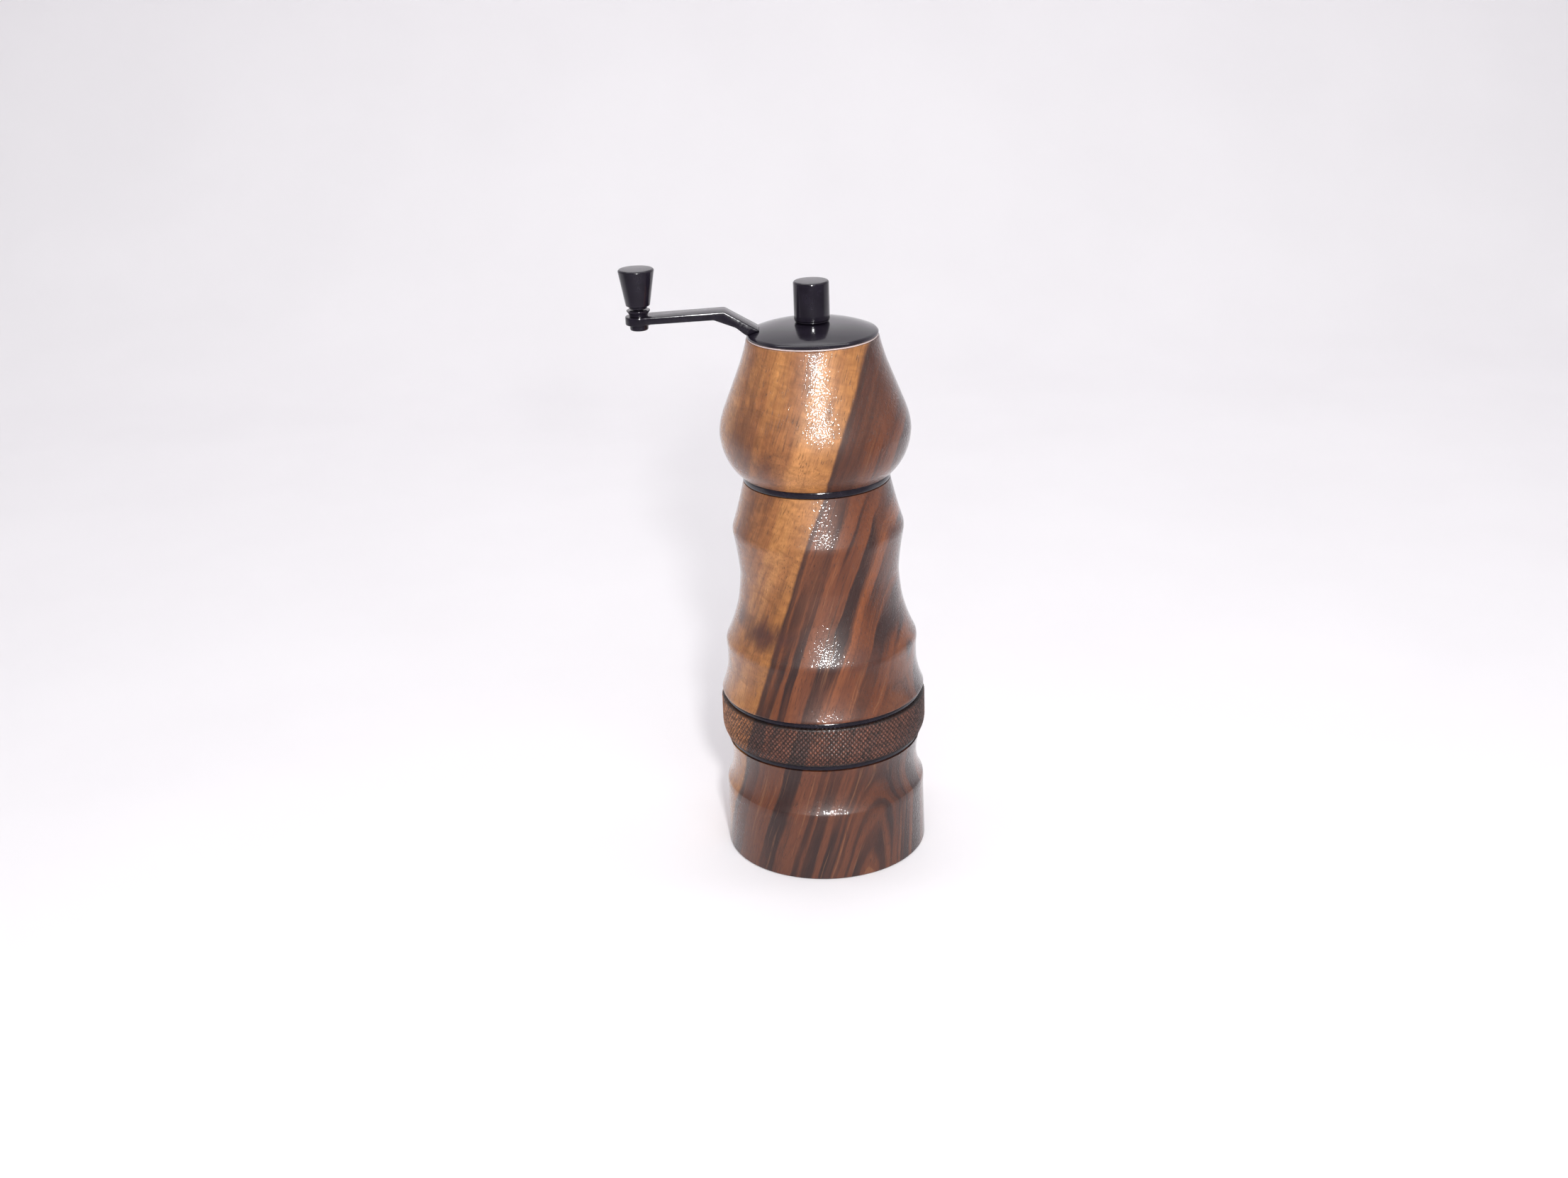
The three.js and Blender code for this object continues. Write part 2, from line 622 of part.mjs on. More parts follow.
add('neck_ring', neckRing(), BLACK_ALUMINIUM);
add('mill_housing', millHousing(), BLACK_ALUMINIUM);
add('lower_collar', lowerCollar(), BLACK_ALUMINIUM);
add('cup_seal', cupSeal(), RUBBER);
add('glide_washer', glideWasher(), NYLON);
add('click_ball', clickBall(), STEEL);
add('click_spring', clickSpring(), STEEL);
add('upper_bridge', bridge(16.4, HEAD_MOUTH_R - GAP, UPPER_BEARING), GREY_ALUMINIUM);
add('lower_bridge', bridge(18.4, TUBE_IN_R - GAP, LOWER_BEARING), GREY_ALUMINIUM);
add('upper_bearing_outer_race', outerRace(UPPER_BEARING), STEEL);
add('lower_bearing_outer_race', outerRace(LOWER_BEARING), STEEL);
add('upper_bearing_balls', ballCage(UPPER_BEARING), STEEL);
add('lower_bearing_balls', ballCage(LOWER_BEARING), STEEL);

add('drive_shaft', driveShaft(), STEEL);
add('upper_bearing_inner_race', innerRace(UPPER_BEARING), STEEL);
add('lower_bearing_inner_race', innerRace(LOWER_BEARING), STEEL);
add('shaft_circlip', shaftCirclip(), STEEL);
add('preload_spring', preloadSpring(), STEEL);
add('cone_burr', coneBurr(), BURR_STEEL);
add('burr_washer', burrWasher(), STEEL);
add('burr_nut', burrNut(), STEEL);

add('adjuster_sleeve', adjusterSleeve(), GREY_ALUMINIUM);
add('burr_carrier', burrCarrier(), GREY_ALUMINIUM);
add('ring_burr', ringBurr(), BURR_STEEL);
add('burr_retaining_ring', burrRetainingRing(), STEEL);

add('cap_dome', capDome(), BLACK_ALUMINIUM);
add('crank_arm', crankArm(), BLACK_ALUMINIUM);
add('knob_spindle', knobSpindle(), BLACK_ALUMINIUM, -CRANK_RADIUS);
add('spindle_nut', spindleNut(), BLACK_ALUMINIUM, -CRANK_RADIUS);
add('knob_snap_ring', knobSnapRing(), STEEL, -CRANK_RADIUS);
add('crank_knob', crankKnob(), BLACK_ALUMINIUM, -CRANK_RADIUS);
add('finial_collar', finialCollar(), BLACK_ALUMINIUM);
add('finial_knob', finialKnob(), BLACK_ALUMINIUM);

export default grinder;
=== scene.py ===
"""A hand crank coffee grinder: turned walnut, a knurled adjuster, black rings and a domed cap with its crank.

Lengths in the outlines below are millimetres, in the frame's axes. Meshes are built in metres.
"""

import json
import math

import bmesh
import bpy
from mathutils import Matrix, Vector


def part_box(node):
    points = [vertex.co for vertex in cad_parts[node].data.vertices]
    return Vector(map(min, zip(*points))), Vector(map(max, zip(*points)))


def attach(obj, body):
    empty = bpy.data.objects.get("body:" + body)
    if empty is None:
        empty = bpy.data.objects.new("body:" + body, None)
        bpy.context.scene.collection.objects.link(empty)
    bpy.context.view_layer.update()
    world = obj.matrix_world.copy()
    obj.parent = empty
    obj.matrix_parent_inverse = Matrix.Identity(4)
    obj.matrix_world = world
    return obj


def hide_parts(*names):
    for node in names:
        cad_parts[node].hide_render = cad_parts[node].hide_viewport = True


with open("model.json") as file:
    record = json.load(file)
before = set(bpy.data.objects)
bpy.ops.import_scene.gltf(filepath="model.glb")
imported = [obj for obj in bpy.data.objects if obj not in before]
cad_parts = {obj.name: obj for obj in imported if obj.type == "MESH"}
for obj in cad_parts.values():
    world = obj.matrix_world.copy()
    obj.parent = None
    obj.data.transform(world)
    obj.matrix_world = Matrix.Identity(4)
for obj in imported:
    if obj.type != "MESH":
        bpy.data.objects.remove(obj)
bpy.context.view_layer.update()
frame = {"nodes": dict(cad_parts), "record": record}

MM = 0.001

# ---- Camera, stage and light ---------------------------------------------------------------------

CAMERA_PLACE = Vector((-12.4, -602.5, 329.7)) * MM
CAMERA_PITCH = math.radians(21.33)
CAMERA_ROLL = math.radians(2.15)
SENSOR_WIDTH = 36.0
FOCAL_LENGTH = 43.2

FLOOR_REACH = 6.0  # metres, to the front and the sides
WALL_Y = 0.9  # metres behind the grinder's axis, which leaves room for a camera behind it
WALL_HEIGHT = 3.0
SWEEP_RADIUS = 0.3
SWEEP_STEPS = 24

# Colours of the room round the stage: in front, at the sides and behind, above, and as the camera sees it.
ROOM_FRONT = (0.19, 0.180, 0.19)
ROOM_SIDES = (0.66, 0.61, 0.62)
ROOM_CEILING = (0.40, 0.395, 0.41)
ROOM_SEEN = (0.90, 0.885, 0.905)

FLASH_PLACE = (0.055, -0.66, 0.42)  # metres
FLASH_TARGET = (0.0, 0.0, 0.12)
FLASH_SIZE = 0.05


def add_camera():
    data = bpy.data.cameras.new("camera")
    data.sensor_width = SENSOR_WIDTH
    data.lens = FOCAL_LENGTH
    data.clip_start = 0.01
    camera = bpy.data.objects.new("camera", data)
    turn = Matrix.Rotation(math.pi / 2 - CAMERA_PITCH, 4, "X") @ Matrix.Rotation(-CAMERA_ROLL, 4, "Z")
    camera.matrix_world = Matrix.Translation(CAMERA_PLACE) @ turn
    bpy.context.scene.collection.objects.link(camera)
    bpy.context.scene.camera = camera


def add_area_light(name, place, target, width, height, power, only_glints=False):
    """A rectangular light, `power` in watts. With only_glints it shows in gloss and lights nothing else."""
    data = bpy.data.lights.new(name, "AREA")
    data.shape = "RECTANGLE"
    data.size = width
    data.size_y = height
    data.energy = power
    light = bpy.data.objects.new(name, data)
    light.location = place
    light.rotation_euler = (Vector(target) - Vector(place)).to_track_quat("-Z", "Y").to_euler()
    light.visible_camera = False
    light.visible_diffuse = not only_glints
    bpy.context.scene.collection.objects.link(light)


def add_lights():
    """A small flash near the camera, with glints stronger than its light, and large soft lights overhead."""
    flash = {"place": FLASH_PLACE, "target": FLASH_TARGET, "width": FLASH_SIZE, "height": FLASH_SIZE}
    add_area_light("flash", **flash, power=4.0)
    add_area_light("flash_glint", **flash, power=10.0, only_glints=True)
    add_area_light("softbox", (0.15, -1.0, 1.6), (0, 0.1, 0.1), width=1.0, height=1.0, power=8.0)
    add_area_light("back_softbox", (0.0, 0.75, 1.5), (0, 0.25, 0.0), width=1.4, height=0.6, power=4.0)
    add_area_light("wall_light", (0.0, 0.1, 1.3), (0, WALL_Y, 0.45), width=1.6, height=0.3, power=5.0)


def add_world():
    """A dim room in front, pale at the sides and behind. Seen directly, it is as pale as the floor."""
    world = bpy.data.worlds.new("room")
    world.use_nodes = True
    bpy.context.scene.world = world
    nodes = Nodes(world.node_tree)
    direction = nodes.add("ShaderNodeTexCoord").outputs["Generated"]
    split = nodes.add("ShaderNodeSeparateXYZ", Vector=direction)
    behind = nodes.step(split.outputs["Y"], -0.75, 0.5)
    right = nodes.step(split.outputs["X"], 0.3, 0.95, 0.0, 0.35)
    side = nodes.math("ADD", behind, right, clamp=True)
    room = nodes.mix(side, ROOM_FRONT, ROOM_SIDES)
    above = nodes.step(split.outputs["Z"], 0.35, 0.8)
    room = nodes.mix(above, room, ROOM_CEILING)
    seen = nodes.add("ShaderNodeLightPath").outputs["Is Camera Ray"]
    colour = nodes.mix(seen, room, ROOM_SEEN)
    background = world.node_tree.nodes["Background"]
    world.node_tree.links.new(colour, background.inputs["Color"])
    background.inputs["Strength"].default_value = 1.0


def add_stage():
    """A pale floor that sweeps up into a wall."""
    path = [(-FLOOR_REACH, 0.0)]
    for i in range(SWEEP_STEPS + 1):
        a = math.pi / 2 * i / SWEEP_STEPS
        path.append((WALL_Y - SWEEP_RADIUS * (1 - math.sin(a)), SWEEP_RADIUS * (1 - math.cos(a))))
    path.append((WALL_Y, WALL_HEIGHT))
    verts = [(x, y, z) for y, z in path for x in (-FLOOR_REACH, FLOOR_REACH)]
    faces = [(2 * i, 2 * i + 1, 2 * i + 3, 2 * i + 2) for i in range(len(path) - 1)]
    mesh = new_mesh("stage", verts, faces)
    mesh.polygons.foreach_set("use_smooth", [True] * len(faces))
    stage = bpy.data.objects.new("stage", mesh)
    bpy.context.scene.collection.objects.link(stage)
    mesh.materials.append(stage_material())


# ---- Node helpers --------------------------------------------------------------------------------


class Nodes:
    """Adds and wires shader nodes. A value may be a number, a colour or another node's output."""

    def __init__(self, tree):
        self.tree = tree

    def add(self, kind, settings=None, **inputs):
        node = self.tree.nodes.new(kind)
        for key, value in (settings or {}).items():
            setattr(node, key, value)
        for key, value in inputs.items():
            self.feed(node.inputs[key.replace("_", " ")], value)
        return node

    def feed(self, socket, value):
        if isinstance(value, bpy.types.NodeSocket):
            self.tree.links.new(value, socket)
        elif isinstance(value, tuple) and socket.type == "RGBA" and len(value) == 3:
            socket.default_value = (*value, 1.0)
        else:
            socket.default_value = value

    def math(self, operation, a, b=0.0, c=0.0, clamp=False):
        node = self.tree.nodes.new("ShaderNodeMath")
        node.operation = operation
        node.use_clamp = clamp
        for socket, value in zip(node.inputs, (a, b, c)):
            self.feed(socket, value)
        return node.outputs[0]

    def vector(self, x, y, z):
        return self.add("ShaderNodeCombineXYZ", X=x, Y=y, Z=z).outputs[0]

    def noise(self, vector, scale, detail=2.0, roughness=0.5, distortion=0.0):
        node = self.add("ShaderNodeTexNoise", Vector=vector, Scale=scale, Detail=detail, Roughness=roughness,
                        Distortion=distortion)
        return node.outputs["Fac"]

    def ramp(self, factor, stops):
        """A colour ramp. Each stop is a place from 0 to 1 and a colour, or one number for a grey."""
        node = self.add("ShaderNodeValToRGB", Fac=factor)
        ramp = node.color_ramp
        while len(ramp.elements) < len(stops):
            ramp.elements.new(1.0)
        for element, (place, value) in zip(ramp.elements, stops):
            colour = (value, value, value) if isinstance(value, float) else value
            element.position = place
            element.color = (*colour, 1.0)
        return node.outputs["Color"]

    def step(self, value, low, high, to_low=0.0, to_high=1.0):
        """A smooth step from to_low at low to to_high at high."""
        node = self.add("ShaderNodeMapRange", {"interpolation_type": "SMOOTHSTEP"})
        for socket, number in zip(node.inputs, (value, low, high, to_low, to_high)):
            self.feed(socket, number)
        return node.outputs["Result"]

    def mix(self, factor, a, b, blend="MIX"):
        """Two colours mixed. The node has sockets for numbers and vectors before those for colours."""
        node = self.tree.nodes.new("ShaderNodeMix")
        node.data_type = "RGBA"
        node.blend_type = blend
        self.feed(node.inputs["Factor"], factor)
        self.feed(node.inputs[6], a)
        self.feed(node.inputs[7], b)
        return node.outputs[2]

    def multiply(self, a, b):
        return self.mix(1.0, a, b, "MULTIPLY")

    def bump(self, height, distance, strength=1.0):
        """A normal from a height of 0 to 1, which stands for `distance` metres."""
        node = self.add("ShaderNodeBump", Height=height, Distance=distance, Strength=strength)
        return node.outputs["Normal"]


def new_material(name):
    """A new material with its node helper and its Principled shader."""
    material = bpy.data.materials.new(name)
    material.use_nodes = True
    shader = material.node_tree.nodes["Principled BSDF"]
    return material, Nodes(material.node_tree), shader


def place_of(nodes):
    """The place on the piece, in millimetres, as a vector and as its three numbers."""
    metres = nodes.add("ShaderNodeTexCoord").outputs["Object"]
    scaled = nodes.add("ShaderNodeVectorMath", {"operation": "SCALE"}, Vector=metres, Scale=1000.0)
    place = scaled.outputs[0]
    split = nodes.add("ShaderNodeSeparateXYZ", Vector=place)
    return place, split.outputs["X"], split.outputs["Y"], split.outputs["Z"]


# ---- Materials -----------------------------------------------------------------------------------

PITH_X = 49.5  # the centre line of the growth rings, at height PITH_Z
PITH_Y = -40.0
PITH_Z = 100.0
PITH_SLOPE = 0.334  # how much x gains with each millimetre of height
PITH_Y_SCALE_HIGH = 0.55  # the centre line comes nearer in y, by this factor, at the top of the head
SAPWOOD_RADIUS = 61.5  # from the centre line to where the sapwood begins
STAINS = (  # dark clouds in the wood: centre, half width, half height and strength
    ((-20.0, -23.0, 86.5), 12.0, 7.0, 0.9),
    ((-29.0, -12.0, 89.0), 8.0, 6.0, 0.8),
    ((-24.0, -18.0, 150.0), 12.0, 16.0, 0.45),
    ((25.0, -15.0, 118.0), 8.0, 6.0, 0.65),
    ((14.0, -29.0, 79.0), 10.0, 5.0, 0.55),
)


def stage_material():
    """Pale paper. Its front part is dim in reflections, as the dark room in front of a paper sweep is."""
    material, nodes, shader = new_material("pale_paper")
    place, _, y, _ = place_of(nodes)
    tone = nodes.noise(place, 0.01)
    paper = nodes.ramp(tone, [(0.3, (0.87, 0.855, 0.875)), (0.7, (0.89, 0.875, 0.895))])
    reflected = nodes.add("ShaderNodeLightPath").outputs["Is Glossy Ray"]
    front = nodes.step(y, 60.0, -140.0, 0.0, 0.8)
    dimmed = nodes.math("MULTIPLY", front, reflected)
    nodes.feed(shader.inputs["Base Color"], nodes.mix(dimmed, paper, (0.06, 0.06, 0.065)))
    shader.inputs["Roughness"].default_value = 0.9
    shader.inputs["Specular IOR Level"].default_value = 0.1
    return material


class Rings:
    """Coordinates of the tree that the wood came from. Its growth rings lie round one leaning centre line.

    `depth` is the distance from that line. Noise over `layer` runs in thin layers. Over `stretched` and
    `fibre` it is drawn out along the grain, a little and a lot, and over `across_grain` across the grain.
    """

    def __init__(self, nodes, x, y, z):
        rise = nodes.math("MULTIPLY", nodes.math("SUBTRACT", z, PITH_Z), PITH_SLOPE)
        dx = nodes.math("SUBTRACT", nodes.math("SUBTRACT", x, rise), PITH_X)
        dy = nodes.math("SUBTRACT", y, PITH_Y)
        dy = nodes.math("MULTIPLY", dy, nodes.step(z, 150.0, 185.0, 1.0, PITH_Y_SCALE_HIGH))
        along = nodes.math("MULTIPLY_ADD", x, PITH_SLOPE, z)
        self.stretched = nodes.vector(dx, dy, nodes.math("MULTIPLY", along, 0.3))
        self.fibre = nodes.vector(dx, dy, nodes.math("MULTIPLY", along, 0.07))
        half_dx = nodes.math("MULTIPLY", dx, 0.5)
        half_dy = nodes.math("MULTIPLY", dy, 0.5)
        self.across_grain = nodes.vector(half_dx, half_dy, along)

        squares = nodes.math("ADD", nodes.math("MULTIPLY", dx, dx), nodes.math("MULTIPLY", dy, dy))
        sway = nodes.math("SUBTRACT", nodes.noise(self.stretched, 0.03, 1.0), 0.5)
        ripple = nodes.math("SUBTRACT", nodes.noise(self.stretched, 0.14, 2.0), 0.5)
        uneven = nodes.math("MULTIPLY_ADD", sway, 6.0, nodes.math("MULTIPLY", ripple, 2.2))
        self.depth = nodes.math("ADD", nodes.math("SQRT", squares), uneven)

        # Low down the layers arch with the rings. Higher up they run mostly straight.
        arched = nodes.step(z, 95.0, 35.0, 0.2, 1.0)
        straight = nodes.math("SUBTRACT", uneven, dx)
        straight_share = nodes.math("MULTIPLY", straight, nodes.math("SUBTRACT", 1.0, arched))
        layered = nodes.math("MULTIPLY_ADD", self.depth, arched, straight_share)
        slow_along = nodes.math("MULTIPLY", along, 0.02)
        self.layer = nodes.vector(layered, slow_along, nodes.math("MULTIPLY", dy, 0.05))


def heartwood(nodes, rings, z):
    """Orange-brown with soft dark bands, stronger in places, and fine veins dark and pale.

    It is duller low down, and darker near its edge, most of all near the top.
    """
    broad = nodes.noise(rings.layer, 0.10, 1.0)
    browns = [(0.32, (0.095, 0.025, 0.010)), (0.5, (0.18, 0.050, 0.016)), (0.68, (0.28, 0.084, 0.025))]
    ground = nodes.mix(nodes.step(z, 75.0, 35.0), nodes.ramp(broad, browns), (0.125, 0.036, 0.015))
    band = nodes.noise(rings.layer, 0.25, 2.0)
    force = nodes.step(nodes.noise(rings.stretched, 0.05, 2.0), 0.34, 0.58, 0.45, 1.0)
    banding = nodes.math("MULTIPLY", nodes.step(band, 0.53, 0.43), force)
    heart = nodes.mix(banding, ground, (0.030, 0.010, 0.008))
    vein = nodes.noise(rings.layer, 1.1, 3.0, 0.6)
    heart = nodes.mix(nodes.step(vein, 0.46, 0.33, 0.0, 0.5), heart, (0.045, 0.018, 0.013))
    heart = nodes.mix(nodes.step(vein, 0.60, 0.70, 0.0, 0.22), heart, (0.40, 0.17, 0.07))
    outer = nodes.step(rings.depth, SAPWOOD_RADIUS - 16.0, SAPWOOD_RADIUS - 7.0)
    high = nodes.step(z, 122.0, 146.0, 0.15, 0.75)
    return nodes.mix(nodes.math("MULTIPLY", outer, high), heart, (0.058, 0.019, 0.012))


def sapwood(nodes, rings):
    """Gold next to the heartwood, then broad brown stripes, with a curly figure across the grain."""
    stripe = nodes.noise(rings.layer, 0.17, 2.0)
    cloud = nodes.noise(rings.stretched, 0.06, 3.0, 0.55)
    tone = nodes.math("MULTIPLY_ADD", cloud, 0.5, nodes.math("MULTIPLY", stripe, 0.5))
    browns = [(0.38, (0.16, 0.055, 0.022)), (0.47, (0.28, 0.110, 0.038)), (0.58, (0.42, 0.185, 0.060))]
    gold = nodes.step(rings.depth, SAPWOOD_RADIUS + 9.0, SAPWOOD_RADIUS + 1.0, 0.0, 0.75)
    pale = nodes.mix(gold, nodes.ramp(tone, browns), (0.36, 0.150, 0.042))
    curl = nodes.noise(rings.across_grain, 0.33, 3.0, 0.6, 0.8)
    pale = nodes.multiply(pale, nodes.ramp(curl, [(0.3, (0.74, 0.70, 0.66)), (0.7, (1.22, 1.20, 1.16))]))
    streak = nodes.noise(rings.layer, 0.8, 3.0, 0.6)
    return nodes.mix(nodes.step(streak, 0.46, 0.34, 0.0, 0.45), pale, (0.15, 0.058, 0.022))


def stained(nodes, rings, place, colour):
    """That colour with the dark stains over it, each a ragged egg shape."""
    for centre, across, tall, strength in STAINS:
        offset = nodes.add("ShaderNodeVectorMath", {"operation": "SUBTRACT"}, Vector=place)
        offset.inputs[1].default_value = centre
        scale = nodes.add("ShaderNodeVectorMath", {"operation": "MULTIPLY"}, Vector=offset.outputs[0])
        scale.inputs[1].default_value = (1 / across, 1 / across, 1 / tall)
        reach = nodes.add("ShaderNodeVectorMath", {"operation": "LENGTH"}, Vector=scale.outputs[0])
        reach = nodes.math("SUBTRACT", reach.outputs["Value"], 0.65)
        ragged = nodes.math("MULTIPLY_ADD", nodes.noise(rings.stretched, 0.3, 3.0), 1.3, reach)
        colour = nodes.mix(nodes.step(ragged, 1.1, 0.2, 0.0, strength), colour, (0.068, 0.023, 0.017))
    return colour


def wood_figure(nodes):
    """Colour and open pores of the walnut block that all the wood was turned from, and the place in it."""
    place, x, y, z = place_of(nodes)
    rings = Rings(nodes, x, y, z)
    edge = nodes.step(rings.depth, SAPWOOD_RADIUS + 0.7, SAPWOOD_RADIUS - 0.7)
    colour = nodes.mix(edge, sapwood(nodes, rings), heartwood(nodes, rings, z))
    from_line = nodes.math("ABSOLUTE", nodes.math("SUBTRACT", rings.depth, SAPWOOD_RADIUS - 1.0))
    colour = nodes.mix(nodes.step(from_line, 1.4, 0.3, 0.0, 0.75), colour, (0.045, 0.018, 0.012))
    colour = stained(nodes, rings, place, colour)
    grain = nodes.noise(rings.fibre, 1.6, 3.0, 0.7)
    colour = nodes.multiply(colour, nodes.ramp(grain, [(0.3, 0.78), (0.7, 1.18)]))
    pores = nodes.step(nodes.noise(rings.fibre, 3.2, 1.0), 0.36, 0.30)
    colour = nodes.mix(nodes.math("MULTIPLY", pores, 0.45), colour, (0.03, 0.012, 0.008))
    return colour, pores, place


def lacquered_walnut():
    """Walnut under a clear lacquer, which is a little uneven and sinks into the open pores."""
    material, nodes, shader = new_material("lacquered_walnut")
    colour, pores, place = wood_figure(nodes)
    nodes.feed(shader.inputs["Base Color"], colour)
    shader.inputs["Roughness"].default_value = 0.5
    shader.inputs["Specular IOR Level"].default_value = 0.25
    shader.inputs["Coat Weight"].default_value = 1.0
    shader.inputs["Coat Roughness"].default_value = 0.06
    shader.inputs["Coat IOR"].default_value = 1.45
    peel = nodes.noise(place, 1.25, 1.0, 0.7)
    dip = nodes.math("MULTIPLY_ADD", pores, -0.25, peel)
    lacquer = nodes.bump(dip, 0.00017, 1.0)
    nodes.feed(shader.inputs["Coat Normal"], lacquer)
    nodes.feed(shader.inputs["Normal"], nodes.bump(pores, -0.00006, 0.6))
    return material


def knurled_walnut():
    """Painted shade in the grooves and a painted glint on the diamonds, over torn, paler fibres."""
    material, nodes, shader = new_material("knurled_walnut")
    colour, _, place = wood_figure(nodes)
    crest = nodes.add("ShaderNodeAttribute", {"attribute_name": "crest"}).outputs["Fac"]
    torn = nodes.noise(place, 0.75, 4.0, 0.75)
    colour = nodes.mix(0.4, colour, (0.075, 0.040, 0.032))
    # Painted shade and highlight: the knurl's height darkens the grooves and brightens the tops of the
    # diamonds.
    shade = nodes.ramp(crest, [(0.1, (0.22, 0.20, 0.21)), (0.5, (0.95, 0.88, 0.88)), (0.9, (1.7, 1.6, 1.6))])
    worn = nodes.ramp(torn, [(0.38, (0.35, 0.34, 0.35)), (0.60, (1.35, 1.30, 1.30))])
    nodes.feed(shader.inputs["Base Color"], nodes.multiply(nodes.multiply(colour, shade), worn))
    nodes.feed(shader.inputs["Roughness"], nodes.step(torn, 0.3, 0.7, 0.75, 0.45))
    shader.inputs["Specular IOR Level"].default_value = 0.3
    shader.inputs["Coat Weight"].default_value = 0.4
    shader.inputs["Coat Roughness"].default_value = 0.15
    nodes.feed(shader.inputs["Normal"], nodes.bump(torn, 0.0003, 1.0))
    return material


def gloss_black():
    """Polished black: almost a mirror, with the faint waves of paint."""
    material, nodes, shader = new_material("gloss_black")
    place, *_ = place_of(nodes)
    tone = nodes.noise(place, 0.25, 3.0, 0.6)
    black = nodes.ramp(tone, [(0.3, (0.008, 0.006, 0.011)), (0.7, (0.015, 0.012, 0.020))])
    nodes.feed(shader.inputs["Base Color"], black)
    dust = nodes.noise(place, 1.2, 2.0, 0.6)
    nodes.feed(shader.inputs["Roughness"], nodes.step(dust, 0.35, 0.75, 0.12, 0.22))
    shader.inputs["Specular IOR Level"].default_value = 0.4
    shader.inputs["Coat Weight"].default_value = 0.2
    shader.inputs["Coat Roughness"].default_value = 0.06
    nodes.feed(shader.inputs["Normal"], nodes.bump(nodes.noise(place, 0.8, 2.0), 0.00001, 0.5))
    return material


def metal(name, low, high, roughness, lines):
    """Bare metal. `lines` is the depth of its turning marks, in metres."""
    material, nodes, shader = new_material(name)
    place, x, y, z = place_of(nodes)
    tone = nodes.noise(place, 0.5, 3.0, 0.6)
    nodes.feed(shader.inputs["Base Color"], nodes.ramp(tone, [(0.3, low), (0.7, high)]))
    shader.inputs["Metallic"].default_value = 1.0
    smudge = nodes.noise(place, 0.9, 3.0, 0.7)
    nodes.feed(shader.inputs["Roughness"], nodes.step(smudge, 0.3, 0.7, roughness * 0.75, roughness * 1.3))
    radius = nodes.math("SQRT", nodes.math("ADD", nodes.math("MULTIPLY", x, x), nodes.math("MULTIPLY", y, y)))
    turning = nodes.noise(nodes.vector(radius, z, 0.0), 6.0, 2.0, 0.7)
    nodes.feed(shader.inputs["Normal"], nodes.bump(turning, lines))
    return material


def plain(name, low, high, roughness, grain):
    """A moulded plastic or rubber. `grain` is the depth of its texture, in metres."""
    material, nodes, shader = new_material(name)
    place, *_ = place_of(nodes)
    tone = nodes.noise(place, 0.4, 3.0, 0.6)
    nodes.feed(shader.inputs["Base Color"], nodes.ramp(tone, [(0.3, low), (0.7, high)]))
    nodes.feed(shader.inputs["Roughness"], nodes.step(tone, 0.3, 0.7, roughness * 0.85, roughness * 1.1))
    nodes.feed(shader.inputs["Normal"], nodes.bump(nodes.noise(place, 5.0, 3.0, 0.6), grain, 1.0))
    return material


FINISHES = {
    "walnut": lacquered_walnut(),
    "knurled_walnut": knurled_walnut(),
    "black_aluminium": gloss_black(),
    "grey_aluminium": metal("machined_aluminium", (0.50, 0.51, 0.53), (0.62, 0.63, 0.65), 0.38, 0.00002),
    "steel": metal("ground_steel", (0.52, 0.52, 0.54), (0.66, 0.66, 0.68), 0.25, 0.00001),
    "burr_steel": metal("burr_steel", (0.24, 0.25, 0.26), (0.36, 0.37, 0.39), 0.33, 0.00002),
    "nylon": plain("nylon", (0.62, 0.50, 0.48), (0.72, 0.60, 0.58), 0.4, 0.00001),
    "rubber": plain("rubber", (0.012, 0.012, 0.013), (0.022, 0.022, 0.023), 0.6, 0.00003),
}

# ---- Mesh helpers --------------------------------------------------------------------------------

SMOOTH = 192  # sectors of the large turned pieces
FINE = 96  # sectors of the small ones
CURVE_STEPS = 14
CORNER_STEPS = 4
SHARP = math.radians(28)  # edges and corners that turn by more than this show as edges
SHARP_ON_WIRE = math.radians(50)
SHARP_ON_KNURL = math.radians(60)
CORNER_SHARE = 0.45  # how much of each side the rounding of a corner may take


def profile(start, entries):
    """Points along a chain from start.

    Each entry is (radius, height) for a straight run, or (control radius, control height, radius, height) for
    a quadratic curve.
    """
    points = [start]
    for entry in entries:
        if len(entry) == 2:
            points.append(entry)
            continue
        (r0, z0), (rc, zc, r1, z1) = points[-1], entry
        for i in range(1, CURVE_STEPS + 1):
            t = i / CURVE_STEPS
            a, b, c = (1 - t) ** 2, 2 * t * (1 - t), t * t
            points.append((a * r0 + b * rc + c * r1, a * z0 + b * zc + c * z1))
    return points


def softened(points, radius):
    """The outline with every corner that turns by more than SHARP rounded by about that radius.

    Points on the axis and the ends of an open outline stay as they are.
    """
    closed = points[0] == points[-1]
    ring = points[:-1] if closed else points
    out = []
    for i, corner in enumerate(ring):
        if corner[0] == 0 or not closed and i in (0, len(ring) - 1):
            out.append(corner)
            continue
        here = Vector(corner)
        before = Vector(ring[i - 1]) - here
        after = Vector(ring[(i + 1) % len(ring)]) - here
        if before.angle(-after) < SHARP:
            out.append(corner)
            continue
        reach = min(radius, CORNER_SHARE * before.length, CORNER_SHARE * after.length)
        a = here + before.normalized() * reach
        b = here + after.normalized() * reach
        for k in range(CORNER_STEPS + 1):
            t = k / CORNER_STEPS
            p = a * (1 - t) ** 2 + here * 2 * t * (1 - t) + b * t * t
            out.append((p.x, p.y))
    if closed:
        out.append(out[0])
    return out


def on_circle(radius, k, sectors, z, centre=(0.0, 0.0)):
    """Vertex k of a circle that has `sectors` of them, in metres."""
    a = 2 * math.pi * k / sectors
    return (centre[0] + radius * math.cos(a)) * MM, (centre[1] + radius * math.sin(a)) * MM, z * MM


